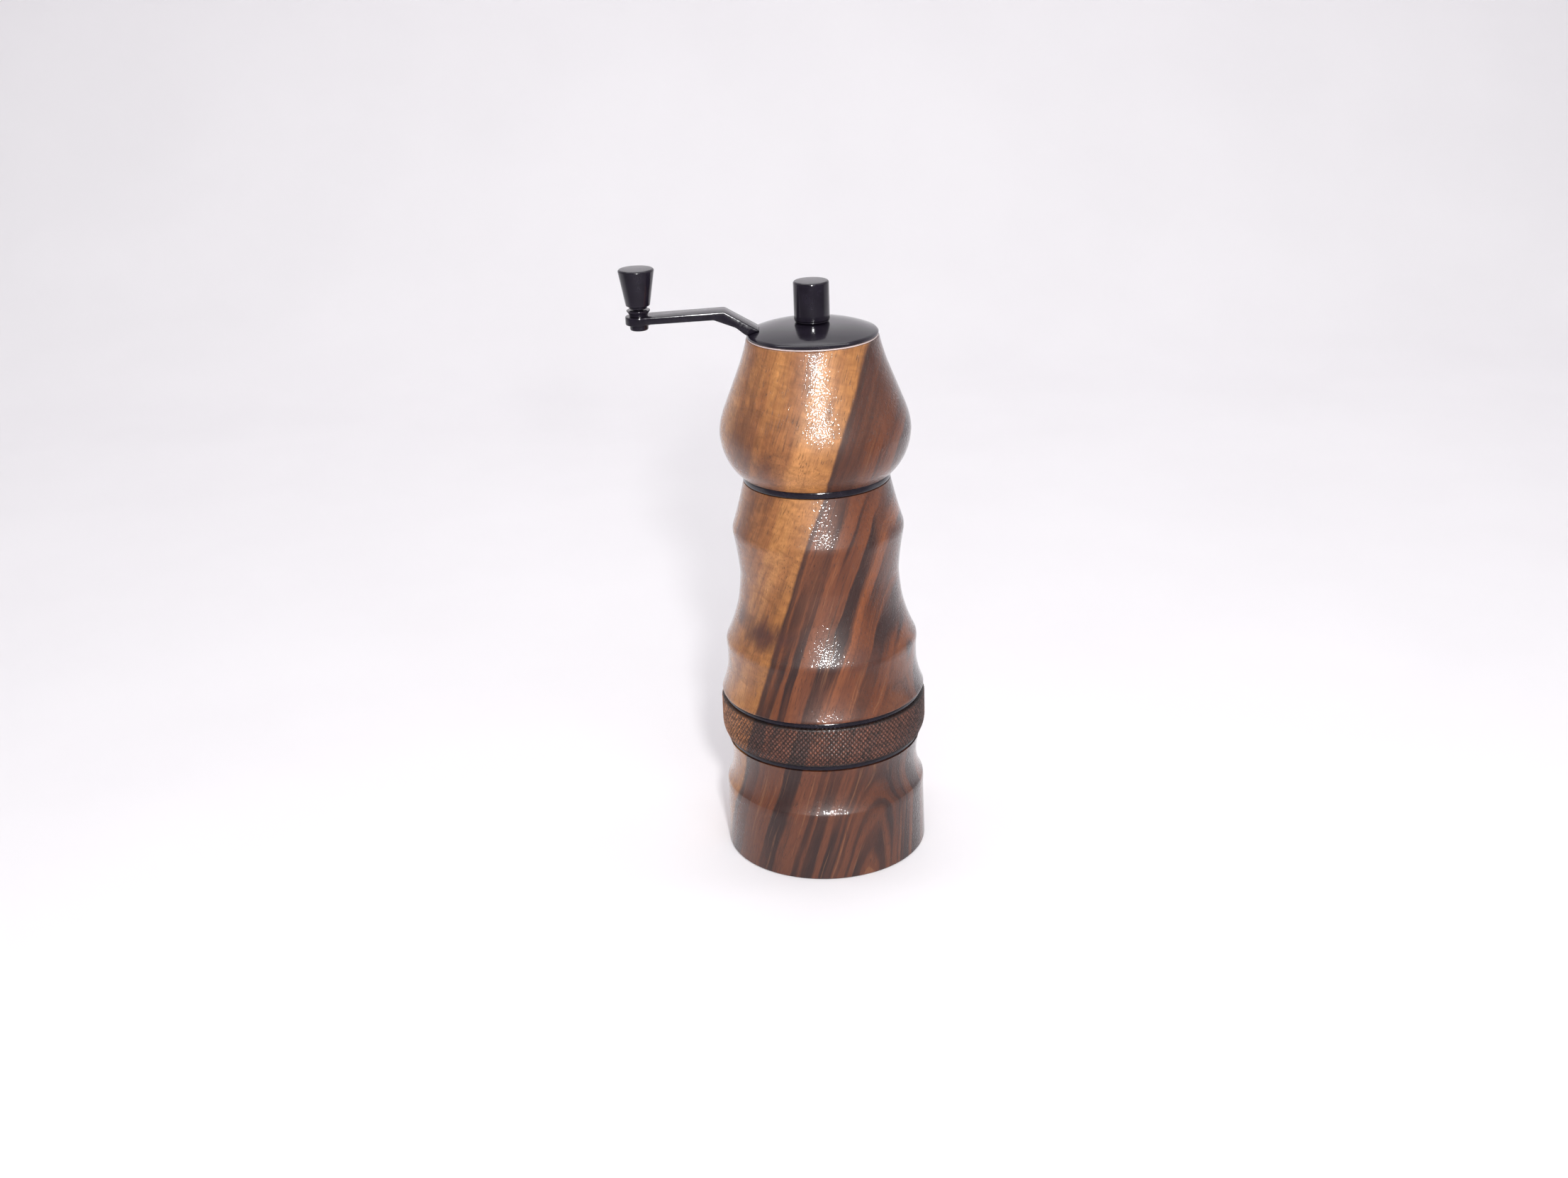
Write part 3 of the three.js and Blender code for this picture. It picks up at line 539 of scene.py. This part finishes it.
def new_mesh(name, verts, faces):
    mesh = bpy.data.meshes.new(name)
    mesh.from_pydata(verts, [], faces)
    return mesh


def written(name, made):
    """A mesh with what the bmesh holds. The bmesh is freed."""
    mesh = bpy.data.meshes.new(name)
    made.to_mesh(mesh)
    made.free()
    return mesh


def finish_piece(name, mesh, node, sharp=SHARP):
    """Turns a mesh into a piece that stands for a CAD node, with that node's body and material slot."""
    mesh.polygons.foreach_set("use_smooth", [True] * len(mesh.polygons))
    mesh.set_sharp_from_angle(angle=sharp)
    mesh.materials.clear()
    mesh.materials.append(FINISHES[SLOT_OF[node]])
    piece = bpy.data.objects.new(name, mesh)
    bpy.context.scene.collection.objects.link(piece)
    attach(piece, BODY_OF[node])
    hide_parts(node)


def lathe_mesh(outline, sectors=FINE, centre=(0.0, 0.0)):
    """Turns an outline of (radius, height) points, which run anticlockwise: out, up and back in."""
    closed = outline[0] == outline[-1]
    points = outline[:-1] if closed else outline
    verts = []
    rows = []
    for r, z in points:
        first = len(verts)
        if r < 1e-6:
            verts.append((centre[0] * MM, centre[1] * MM, z * MM))
            rows.append([first] * sectors)
            continue
        verts.extend(on_circle(r, k, sectors, z, centre) for k in range(sectors))
        rows.append(list(range(first, first + sectors)))
    faces = []
    pairs = list(zip(rows, rows[1:] + rows[:1])) if closed else list(zip(rows, rows[1:]))
    for low, high in pairs:
        for k in range(sectors):
            n = (k + 1) % sectors
            corners = list(dict.fromkeys((low[k], low[n], high[n], high[k])))
            if len(corners) > 2:
                faces.append(corners)
    return new_mesh("lathe", verts, faces)


def ring_outline(inner, outer, low, top):
    """The outline of a plain ring, or of a disc where `inner` is 0."""
    walls = [(inner, low), (outer, low), (outer, top), (inner, top)]
    return [*walls, walls[0]] if inner > 0 else walls


def ring_mesh(inner, outer, low, top, soften, sectors=FINE, centre=(0.0, 0.0)):
    return lathe_mesh(softened(ring_outline(inner, outer, low, top), soften), sectors, centre)


def block_mesh(low, high, soften):
    """A box between two corners, in millimetres, with its edges rounded by that much."""
    made = bmesh.new()
    bmesh.ops.create_cube(made, size=1.0)
    for vert in made.verts:
        vert.co = Vector(((b - a) * c + (a + b) / 2) * MM for a, b, c in zip(low, high, vert.co))
    if soften:
        bmesh.ops.bevel(made, geom=made.edges[:], offset=soften * MM, segments=3, profile=0.5, affect="EDGES")
    return written("block", made)


def prism_mesh(across_flats, low, top):
    """A hexagonal bar about the axis."""
    made = bmesh.new()
    radius = across_flats / math.sqrt(3) * MM
    lift = Matrix.Translation((0, 0, (low + top) / 2 * MM))
    bmesh.ops.create_cone(made, cap_ends=True, segments=6, radius1=radius, radius2=radius,
                          depth=(top - low) * MM, matrix=lift)
    return written("prism", made)


def ball_mesh(radius, centre, sectors=24, rings=16):
    """A half circle turned about an upright line through its own centre."""
    x, y, z = centre
    angles = [math.pi * i / rings for i in range(rings + 1)]
    return lathe_mesh([(radius * math.sin(a), z - radius * math.cos(a)) for a in angles], sectors, (x, y))


def turned_copies(mesh, count):
    """That mesh and its copies, turned evenly about the axis."""
    copies = []
    for i in range(count):
        copy = mesh.copy()
        copy.transform(Matrix.Rotation(2 * math.pi * i / count, 4, "Z"))
        copies.append(copy)
    return copies


def fused(joined, cut=()):
    """Joins the first list of meshes, then cuts away the second."""
    helpers = [bpy.data.objects.new("helper", mesh) for mesh in (*joined, *cut)]
    for helper in helpers:
        bpy.context.scene.collection.objects.link(helper)
    base = helpers[0]
    for i, helper in enumerate(helpers[1:], 1):
        step = base.modifiers.new("step", "BOOLEAN")
        step.operation = "UNION" if i < len(joined) else "DIFFERENCE"
        step.solver = "EXACT"
        step.object = helper
    bpy.context.view_layer.update()
    mesh = bpy.data.meshes.new_from_object(base.evaluated_get(bpy.context.evaluated_depsgraph_get()))
    for helper in helpers:
        bpy.data.objects.remove(helper)
    made = bmesh.new()
    made.from_mesh(mesh)
    bmesh.ops.remove_doubles(made, verts=made.verts, dist=1e-7)
    made.to_mesh(mesh)
    made.free()
    return mesh


THREAD_PITCH = 0.8
THREAD_DEPTH = 0.35
THREAD_ROWS = 8  # of vertices, in one pitch


def thread_mesh(radius, low, top, sectors=48):
    """A screw thread about the axis, cut within that radius, with a lead at both ends."""
    rows = round((top - low) / THREAD_PITCH * THREAD_ROWS)
    verts = [(0, 0, low * MM)]
    for i in range(rows + 1):
        z = low + (top - low) * i / rows
        fade = min(1.0, (top - z) / THREAD_PITCH, (z - low) / THREAD_PITCH)
        for k in range(sectors):
            turn = (z - low) / THREAD_PITCH - k / sectors
            flank = 2 * abs(turn - round(turn))
            verts.append(on_circle(radius - THREAD_DEPTH * (1 - flank * fade), k, sectors, z))
    verts.append((0, 0, top * MM))
    last = 1 + rows * sectors
    faces = []
    for k in range(sectors):
        n = (k + 1) % sectors
        faces.append((0, 1 + n, 1 + k))
        faces.append((last + k, last + n, len(verts) - 1))
        for row in range(1, last, sectors):
            faces.append((row + k, row + n, row + sectors + n, row + sectors + k))
    return new_mesh("thread", verts, faces)


def spring_piece(name, node, coil, wire, turns=4, centre=(0.0, 0.0)):
    """A compression spring of round wire, which fills the CAD node's height. `coil` and `wire` are radii."""
    low, top = span(node)
    low, top = low + wire, top - wire
    steps = 40 * turns
    sides = 12
    verts = []
    for i in range(steps + 1):
        a = 2 * math.pi * turns * i / steps
        z = low + (top - low) * i / steps
        out = Vector((math.cos(a), math.sin(a), 0))
        for k in range(sides):
            b = 2 * math.pi * k / sides
            place = out * (coil + wire * math.cos(b)) + Vector((centre[0], centre[1], z + wire * math.sin(b)))
            verts.append(place * MM)
    faces = []
    for i in range(steps):
        for k in range(sides):
            n = (k + 1) % sides
            faces.append((i * sides + k, i * sides + n, (i + 1) * sides + n, (i + 1) * sides + k)[::-1])
    faces.append(tuple(range(sides)))
    faces.append(tuple(range(steps * sides, (steps + 1) * sides))[::-1])
    finish_piece(name, new_mesh(name, verts, faces), node, SHARP_ON_WIRE)


# ---- Sizes ---------------------------------------------------------------------------------------

SLOT_OF = {row["node"]: row["material_slot"] for row in frame["record"]["subparts"]}
BODY_OF = {node: body for body, nodes in frame["record"]["behaviour"]["bodies"].items() for node in nodes}


def span(node):
    """Lowest and highest height of a CAD node, in millimetres."""
    low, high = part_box(node)
    return low.z / MM, high.z / MM


def outer_radius(node):
    """Radius of a CAD node that is turned about the grinder's axis, in millimetres."""
    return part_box(node)[1].x / MM


CUP_LOW, CUP_TOP = span("grounds_cup")
RING_LOW, RING_TOP = span("adjusting_ring")
BODY_LOW, BODY_TOP = span("main_body")
HEAD_LOW, HEAD_TOP = span("upper_head")
FINIAL_LOW, FINIAL_TOP = span("finial_knob")
KNOB_LOW, KNOB_TOP = span("crank_knob")
BASE_R = outer_radius("grounds_cup")
RING_R = outer_radius("adjusting_ring")
CAP_R = outer_radius("cap_dome")
FINIAL_R = outer_radius("finial_knob")
CRANK_X = (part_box("crank_knob")[0].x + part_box("crank_knob")[1].x) / 2 / MM

FACE_GAP = 0.2  # between a black ring and the wood above or below it

TUBE_IN_R = 21.0  # the mill housing's tube
TUBE_OUT_R = 24.0
TUBE_SOCKET_R = TUBE_OUT_R + 0.3  # the bores that it fits in
NECK_SPIGOT_R = 20.3
NECK_SOCKET_R = 20.5
CUP_SPIGOT_R = 27.0
CUP_SOCKET_R = 27.4
SLEEVE_OUT_R = 29.0
CLICK_Y = 25.7  # how far the click ball is from the axis

BEARING_T = 5.0
BALLS = 7  # in each bearing
BALL_R = 0.65
SHAFT_R = 3.0
STUD_R = 2.4
SHAFT_SHOULDER = 43.6  # where the lower stud ends
COLLAR_LOW = 167.9  # the shaft's collar
COLLAR_TOP = 169.3
SQUARE_LOW = 176.2  # the shaft's square, which the cap sits on
SQUARE_TOP = 184.2
SQUARE_HALF = 2.5

CAP_LOW = 183.4  # the cap's rim
CAP_EDGE = 1.0  # the height of that rim
CAP_CROWN = 187.6
ARM_TOP = 191.6  # over the level part of the arm
ARM_BEND = 192.7
ARM_T = 2.4
ARM_HALF = 4.0  # half its width
EYE_R = 4.4
EYE_T = 2.7
SPINDLE_R = 1.5


# ---- Wood ----------------------------------------------------------------------------------------


def turned_piece(name, node, outline, sectors=FINE, soften=0.0, centre=(0.0, 0.0)):
    points = softened(outline, soften) if soften else outline
    mesh = lathe_mesh(points, sectors, centre)
    mesh.name = name
    finish_piece(name, mesh, node)


def grounds_cup():
    outside = profile((BASE_R - 0.6, CUP_LOW), [
        (BASE_R, 0.1, BASE_R, 0.8),
        (34.7, 21),
        (34.95, 23.2, 34.6, 24.6),
        (32.8, 27.5, 32.4, 32),
        (32.2, 36, 33.4, CUP_TOP),
    ])
    bore = 26
    floor = 7
    ledge = 30.7
    inside = profile((CUP_SOCKET_R, CUP_TOP), [
        (CUP_SOCKET_R, ledge),
        (bore, ledge),
        (bore, floor + 1.5),
        (bore, floor, bore - 1.5, floor),
        (0, floor),
    ])
    turned_piece("walnut_grounds_cup", "grounds_cup", [(0, CUP_LOW), *outside, *inside], SMOOTH)


def main_body():
    outside = profile((34.8, BODY_LOW), [
        (35.1, BODY_LOW + 0.1, 35.1, BODY_LOW + 0.5),
        (33.1, 64.2, 32.7, 69.2),
        (32.5, 73.5, 32.9, 76.6),
        (33, 77.9, 32.5, 79),
        (29.7, 84.6, 28.2, 91.4),
        (27.3, 96.8, 27.1, 102),
        (27.6, 109.2, 28.9, 116),
        (29.2, 117.4, 28.9, 118.8),
        (26.7, 125.5, 24.7, BODY_TOP),
    ])
    ledge = 77
    inside = [
        (NECK_SOCKET_R, BODY_TOP), (NECK_SOCKET_R, ledge), (TUBE_SOCKET_R, ledge), (TUBE_SOCKET_R, BODY_LOW),
        outside[0],
    ]
    turned_piece("walnut_main_body", "main_body", [*outside, *inside], SMOOTH)


def upper_head():
    outside = profile((25.5, HEAD_LOW), [
        (31.4, 142.5, 31.9, 151.3),
        (31.9, 155, 29.9, 160),
        (24.6, 173.4),
        (22.9, 178, 21.9, HEAD_TOP - 0.3),
        (21.6, HEAD_TOP),
    ])
    mouth = 18.6
    throat = 17.8
    bridge_seat = 169.2
    ledge = HEAD_LOW + 7.9
    inside = [
        (mouth, HEAD_TOP), (mouth, bridge_seat), (throat, bridge_seat), (throat, ledge),
        (NECK_SOCKET_R, ledge), (NECK_SOCKET_R, HEAD_LOW), outside[0],
    ]
    turned_piece("walnut_upper_head", "upper_head", [*outside, *inside], SMOOTH)


KNURLS = 140  # round the ring
KNURL_HEIGHT = 1.85  # of one diamond
KNURL_DEPTH = 0.5
KNURL_FLATNESS = 1.25  # above 1 it leaves a flat on top of each diamond
KNURL_RUNOUT = 0.5  # the height over which the grooves run out, at each end
KNURL_SAMPLES = 6  # vertices across one diamond, each way
RING_FOOT = (4.6, 1.3)  # height and depth of the rounding at the ring's foot
RING_BROW = (0.6, 0.5)  # and at its top


def rounding(rise, height, depth):
    """How far a face has drawn in at that distance from its end."""
    return depth * (1 - min(1.0, rise / height)) ** 2


def ring_radius(z):
    """Outer radius of the adjusting ring over its diamonds, which draws in at both ends."""
    return RING_R - rounding(z - RING_LOW, *RING_FOOT) - rounding(RING_TOP - z, *RING_BROW)


def knurl(turn, z):
    """Height of the knurl, from 0 in its grooves to 1 on its diamonds. `turn` is a fraction of a circle."""
    heights = []
    for sign in (1, -1):
        across = turn * KNURLS + sign * (z - RING_LOW) / KNURL_HEIGHT
        heights.append(2 * abs(across - round(across)))
    return min(1.0, KNURL_FLATNESS * min(heights))


def adjusting_ring():
    """The knurled grip. Its vertices carry the height of the knurl, which the material uses to paint shade
    into the grooves and a glint onto the diamonds.
    """
    sectors = KNURLS * KNURL_SAMPLES
    rows = round((RING_TOP - RING_LOW) / KNURL_HEIGHT * KNURL_SAMPLES)
    bore = SLEEVE_OUT_R + 0.3
    verts = []
    crests = []
    for i in range(rows + 1):
        z = RING_LOW + (RING_TOP - RING_LOW) * i / rows
        fade = min(1.0, (z - RING_LOW) / KNURL_RUNOUT, (RING_TOP - z) / KNURL_RUNOUT)
        for k in range(sectors):
            crest = knurl(k / sectors, z) * fade
            verts.append(on_circle(ring_radius(z) - KNURL_DEPTH * (fade - crest), k, sectors, z))
            crests.append(crest)
    for z in (RING_TOP, RING_LOW):
        verts.extend(on_circle(bore, k, sectors, z) for k in range(sectors))
        crests.extend([0.0] * sectors)
    count = rows + 3
    faces = []
    for row in range(count):
        low = row * sectors
        high = (row + 1) % count * sectors
        for k in range(sectors):
            n = (k + 1) % sectors
            faces.append((low + k, low + n, high + n, high + k))
    mesh = new_mesh("knurled_adjusting_ring", verts, faces)
    mesh.attributes.new("crest", "FLOAT", "POINT").data.foreach_set("value", crests)
    finish_piece(mesh.name, mesh, "adjusting_ring", SHARP_ON_KNURL)


# ---- Black rings, housing, seal and click --------------------------------------------------------


def neck_ring():
    """The black ring at the neck, with a spigot up into the head and down into the body."""
    low, top = span("neck_ring")
    flange_low = BODY_TOP + FACE_GAP
    flange_top = HEAD_LOW - FACE_GAP
    radius = outer_radius("neck_ring")
    bore = 18
    turned_piece("black_neck_ring", "neck_ring", [
        (bore, low), (NECK_SPIGOT_R, low), (NECK_SPIGOT_R, flange_low), (radius, flange_low),
        (radius, flange_top), (NECK_SPIGOT_R, flange_top), (NECK_SPIGOT_R, top), (bore, top), (bore, low),
    ], SMOOTH, 0.7)


def mill_housing():
    """The tube that holds the mill, with its flange on show and a slot for each lug of the carrier."""
    low, top = span("mill_housing")
    flange_low = RING_TOP + FACE_GAP
    flange_top = BODY_LOW - FACE_GAP
    radius = outer_radius("mill_housing")
    tube = lathe_mesh(softened([
        (TUBE_IN_R, low), (TUBE_OUT_R, low), (TUBE_OUT_R, flange_low), (radius, flange_low),
        (radius, flange_top), (TUBE_OUT_R, flange_top), (TUBE_OUT_R, top), (TUBE_IN_R, top), (TUBE_IN_R, low),
    ], 0.6), SMOOTH)
    slot_half = 3.8
    slot_low = 45.2
    slot_top = 51.6
    slot = block_mesh((TUBE_IN_R - 3, -slot_half, slot_low), (TUBE_OUT_R + 6, slot_half, slot_top), 1.0)
    finish_piece("black_mill_housing", fused([tube], turned_copies(slot, 3)), "mill_housing")


def lower_collar():
    """The black collar under the adjuster, whose grooved spigot carries the cup."""
    low, top = span("lower_collar")
    seal_low, seal_top = span("cup_seal")
    groove_low = seal_low - 0.15
    groove_top = seal_top + 0.15
    groove_r = 25.6
    shoulder = CUP_TOP + FACE_GAP
    radius = outer_radius("lower_collar")
    body = lathe_mesh(softened([
        (TUBE_SOCKET_R, low), (CUP_SPIGOT_R, low), (CUP_SPIGOT_R, groove_low), (groove_r, groove_low),
        (groove_r, groove_top), (CUP_SPIGOT_R, groove_top), (CUP_SPIGOT_R, shoulder), (radius, shoulder),
        (radius, top), (TUBE_SOCKET_R, top), (TUBE_SOCKET_R, low),
    ], 0.55), SMOOTH)
    pocket_r = 0.95
    pocket_floor = 38.5
    pocket = ring_mesh(0, pocket_r, pocket_floor, top + 1, 0, 32, (0, CLICK_Y))
    finish_piece("black_lower_collar", fused([body], [pocket]), "lower_collar")


def cup_seal():
    """The O-ring in the collar's groove."""
    low, top = span("cup_seal")
    middle = (low + top) / 2
    wire = (top - low) / 2
    radius = 26.5
    sides = 20
    angles = [2 * math.pi * i / sides for i in range(sides)]
    circle = [(radius + wire * math.cos(a), middle + wire * math.sin(a)) for a in angles]
    turned_piece("rubber_cup_seal", "cup_seal", [*circle, circle[0]], SMOOTH)


def glide_washer():
    """The pale washer between the cap and the head."""
    outline = ring_outline(18.7, 21.5, *span("glide_washer"))
    turned_piece("nylon_glide_washer", "glide_washer", outline, SMOOTH, 0.12)


def click_ball():
    low, top = span("click_ball")
    finish_piece("steel_click_ball", ball_mesh((top - low) / 2, (0, CLICK_Y, (low + top) / 2)), "click_ball")


# ---- Bridges and bearings ------------------------------------------------------------------------


def bridge(place, rim_in):
    """A bearing's seat on three spokes, with a rim that starts at the radius rim_in."""
    node = place + "_bridge"
    low, top = span(node)
    rim_low = low + 0.9
    rim_top = rim_low + BEARING_T
    rim = ring_mesh(rim_in, outer_radius(node), rim_low, rim_top, 0.4, SMOOTH)
    bore = 5.6
    seat = 6.6
    wall = 8.9
    floor = rim_low - 0.1
    hub = lathe_mesh(softened([
        (bore, low), (wall, low), (wall, top), (seat, top), (seat, floor), (bore, floor), (bore, low),
    ], 0.25))
    spoke = block_mesh((wall - 0.9, -1.7, rim_low + 0.6), (rim_in + 0.8, 1.7, rim_top - 0.6), 0.6)
    finish_piece("metal_" + node, fused([rim, hub, *turned_copies(spoke, 3)]), node)


def bearing(place):
    """A ball bearing: both races, and the balls joined by their cage."""
    low, top = span(place + "_bearing_outer_race")
    middle = (low + top) / 2
    pitch = 4.8
    for race, inner, outer in (("outer", 5.6, 6.5), ("inner", 3.1, 4.0)):
        turned_piece("steel_" + place + "_" + race + "_race", place + "_bearing_" + race + "_race",
                     ring_outline(inner, outer, low, top), FINE, 0.2)
    cage = ring_mesh(pitch - 0.3, pitch + 0.3, middle - 0.3, middle + 0.3, 0.1)
    balls = turned_copies(ball_mesh(BALL_R, (pitch, 0, middle)), BALLS)
    finish_piece("steel_" + place + "_balls", fused([cage, *balls]), place + "_bearing_balls")


# ---- Drive and burrs -----------------------------------------------------------------------------


def drive_shaft():
    """The round shaft with its collar, the square for the cap and a threaded stud at each end."""
    low, top = span("drive_shaft")
    collar_r = SHAFT_R + 0.9
    round_bar = lathe_mesh(softened([
        (0, SHAFT_SHOULDER), (SHAFT_R, SHAFT_SHOULDER), (SHAFT_R, COLLAR_LOW), (collar_r, COLLAR_LOW),
        (collar_r, COLLAR_TOP), (SHAFT_R, COLLAR_TOP), (SHAFT_R, SQUARE_LOW), (0, SQUARE_LOW),
    ], 0.2))
    corner = (SQUARE_HALF, SQUARE_HALF, SQUARE_TOP)
    square = block_mesh((-SQUARE_HALF, -SQUARE_HALF, SQUARE_LOW - 0.5), corner, 0.15)
    studs = [thread_mesh(STUD_R, low, SHAFT_SHOULDER + 0.5), thread_mesh(STUD_R, SQUARE_TOP - 0.8, top)]
    finish_piece("steel_drive_shaft", fused([round_bar, square, *studs]), "drive_shaft")


def burr_washer():
    outline = ring_outline(STUD_R + 0.2, 6, *span("burr_washer"))
    turned_piece("steel_burr_washer", "burr_washer", outline, FINE, 0.15)


def burr_nut():
    """A hexagonal nut on the lower stud, which holds the cone burr."""
    low, top = span("burr_nut")
    bore = ring_mesh(0, STUD_R + 0.15, low - 1, top + 1, 0, 48)
    hexagon = prism_mesh(8, low, top)
    finish_piece("steel_burr_nut", fused([hexagon], [bore]), "burr_nut")


def shaft_circlip():
    """The open spring ring round the shaft."""
    low, top = span("shaft_circlip")
    gap = block_mesh((SHAFT_R, -1, low - 1), (SHAFT_R + 3, 1, top + 1), 0)
    circlip = ring_mesh(SHAFT_R + 0.1, SHAFT_R + 1.4, low, top, 0.08)
    finish_piece("steel_shaft_circlip", fused([circlip], [gap]), "shaft_circlip")


def burr_retaining_ring():
    outline = ring_outline(17.4, 18.0, *span("burr_retaining_ring"))
    turned_piece("steel_burr_retaining_ring", "burr_retaining_ring", outline, SMOOTH, 0.1)


def adjuster_sleeve():
    """The sleeve inside the adjusting ring, with a groove for the carrier's lugs."""
    low, top = span("adjuster_sleeve")
    bore = 24.15
    groove_r = 26
    groove_low = 45.0
    groove_top = 51.8
    turned_piece("metal_adjuster_sleeve", "adjuster_sleeve", [
        (bore, low), (SLEEVE_OUT_R, low), (SLEEVE_OUT_R, top), (bore, top), (bore, groove_top),
        (groove_r, groove_top), (groove_r, groove_low), (bore, groove_low), (bore, low),
    ], SMOOTH, 0.3)


# ---- Cap, crank and finial -----------------------------------------------------------------------


def cap_height(r):
    """Height of the domed cap at that radius."""
    return CAP_CROWN - (CAP_CROWN - CAP_LOW - CAP_EDGE) * (r / CAP_R) ** 3


def cap_dome():
    """The cap, with a lip that centres it in the head and a square socket for the shaft."""
    low = span("cap_dome")[0]
    hub = 6
    lip_in = 17
    lip_out = 18.2
    lip_low = CAP_LOW - 4.2
    crown = [(r, cap_height(r)) for r in (CAP_R * (1 - i / 48) for i in range(1, 48)) if r < CAP_R - 0.3]
    dome = lathe_mesh([
        (0, low), (hub, low), (hub, CAP_LOW), (lip_in, CAP_LOW), (lip_in, lip_low), (lip_out, lip_low),
        (lip_out, CAP_LOW), (CAP_R - 0.25, CAP_LOW), (CAP_R, CAP_LOW + 0.25),
        (CAP_R, CAP_LOW + CAP_EDGE - 0.3), *crown, (0, CAP_CROWN),
    ], SMOOTH)
    half = SQUARE_HALF + 0.15
    socket = block_mesh((-half, -half, low - 1), (half, half, SQUARE_TOP + 0.2), 0)
    stud_hole = ring_mesh(0, STUD_R + 0.2, low - 1, CAP_CROWN + 1, 0, FINE)
    finish_piece("black_cap_dome", fused([dome], [socket, stud_hole]), "cap_dome")


def crank_arm():
    """The flat bar, from the cap's rim to the eye under the knob."""
    foot = 17.3
    edge = cap_height(CAP_R)
    side = [  # the top face outwards, then the under face inwards
        (foot, cap_height(foot) + 0.05), (foot + 0.5, cap_height(foot) + 0.5), (28.4, ARM_BEND),
        (-CRANK_X, ARM_TOP), (-CRANK_X, ARM_TOP - ARM_T), (31.9, ARM_BEND - 2.7), (24.8, CAP_CROWN - 0.4),
        (CAP_R + 0.6, edge + 0.6), (CAP_R - 0.3, edge + 0.1),
    ]
    made = bmesh.new()
    rows = [[made.verts.new((-x * MM, y * MM, z * MM)) for x, z in side] for y in (-ARM_HALF, ARM_HALF)]
    made.faces.new(rows[0])
    made.faces.new(rows[1][::-1])
    for i in range(len(side)):
        n = (i + 1) % len(side)
        made.faces.new((rows[0][n], rows[0][i], rows[1][i], rows[1][n]))
    bmesh.ops.recalc_face_normals(made, faces=made.faces)
    bmesh.ops.bevel(made, geom=made.edges[:], offset=0.4 * MM, segments=3, profile=0.5, affect="EDGES")
    bar = written("bar", made)
    eye = ring_mesh(0, EYE_R, ARM_TOP - EYE_T, ARM_TOP, 0.35, FINE, (CRANK_X, 0))
    hole = ring_mesh(0, SPINDLE_R + 0.2, ARM_TOP - 4, ARM_TOP + 1, 0, 48, (CRANK_X, 0))
    finish_piece("black_crank_arm", fused([bar, eye], [hole]), "crank_arm")


def knob_spindle():
    """The pin that the knob turns on, with its tapered flange over the arm's eye."""
    low, top = span("knob_spindle")
    flange = ARM_TOP + 0.1
    turned_piece("black_knob_spindle", "knob_spindle", [
        (0, low), (SPINDLE_R, low), (SPINDLE_R, flange), (3, flange), (3, flange + 0.5), (3.85, flange + 1.6),
        (3.85, flange + 1.9), (SPINDLE_R, flange + 1.9), (SPINDLE_R, top), (0, top),
    ], FINE, 0.15, (CRANK_X, 0))


def spindle_nut():
    """The nut under the arm's eye, rounded at its foot."""
    low, top = span("spindle_nut")
    bore = SPINDLE_R + 0.1
    foot = profile((2.3, low), [(3.05, low + 0.1, 3.05, low + 0.7)])
    turned_piece("black_spindle_nut", "spindle_nut", [
        (bore, low), (2.1, low), *foot, (3.05, top), (bore, top), (bore, low),
    ], FINE, 0.0, (CRANK_X, 0))


def crank_knob():
    """The tapered knob, closed at its top."""
    bore = SPINDLE_R + 0.15
    bore_top = KNOB_TOP - 2.1
    turned_piece("black_crank_knob", "crank_knob", [
        (bore, KNOB_LOW), (3, KNOB_LOW), (3, KNOB_LOW + 0.6), (3.95, KNOB_LOW + 1.0), (5.9, KNOB_TOP - 0.45),
        (5.45, KNOB_TOP), (0, KNOB_TOP), (0, bore_top), (bore, bore_top), (bore, KNOB_LOW),
    ], FINE, 0.25, (CRANK_X, 0))


def finial_collar():
    low, top = span("finial_collar")
    bore = STUD_R + 0.2
    radius = FINIAL_R - 0.15
    turned_piece("black_finial_collar", "finial_collar", [
        (bore, low), (5.1, low), (radius, low + 0.3), (radius, top), (bore, top), (bore, low),
    ], FINE, 0.1)


def finial_knob():
    """The cylinder that screws on the upper stud, with a blind bore."""
    bore = STUD_R + 0.15
    bore_top = FINIAL_TOP - 2.3
    turned_piece("black_finial_knob", "finial_knob", [
        (bore, FINIAL_LOW), (FINIAL_R, FINIAL_LOW), (FINIAL_R, FINIAL_TOP - 0.4),
        (FINIAL_R - 0.4, FINIAL_TOP), (0, FINIAL_TOP), (0, bore_top), (bore, bore_top), (bore, FINIAL_LOW),
    ], FINE, 0.25)


# ---- The scene -----------------------------------------------------------------------------------


def dress_cad_nodes():
    """Gives every CAD node its finish. Those that no piece replaces stay on show."""
    for name, node in frame["nodes"].items():
        node.data.materials.clear()
        node.data.materials.append(FINISHES[SLOT_OF[name]])


add_camera()
add_world()
add_stage()
add_lights()

dress_cad_nodes()
grounds_cup()
main_body()
upper_head()
adjusting_ring()
neck_ring()
mill_housing()
lower_collar()
cup_seal()
glide_washer()
click_ball()
spring_piece("steel_click_spring", "click_spring", coil=0.65, wire=0.15, centre=(0, CLICK_Y))
bridge("upper", rim_in=16.4)
bridge("lower", rim_in=18.4)
bearing("upper")
bearing("lower")
drive_shaft()
burr_washer()
burr_nut()
spring_piece("steel_preload_spring", "preload_spring", coil=4.1, wire=0.45)
shaft_circlip()
burr_retaining_ring()
adjuster_sleeve()
cap_dome()
crank_arm()
knob_spindle()
spindle_nut()
crank_knob()
finial_collar()
finial_knob()

bpy.context.scene.view_settings.view_transform = "Standard"
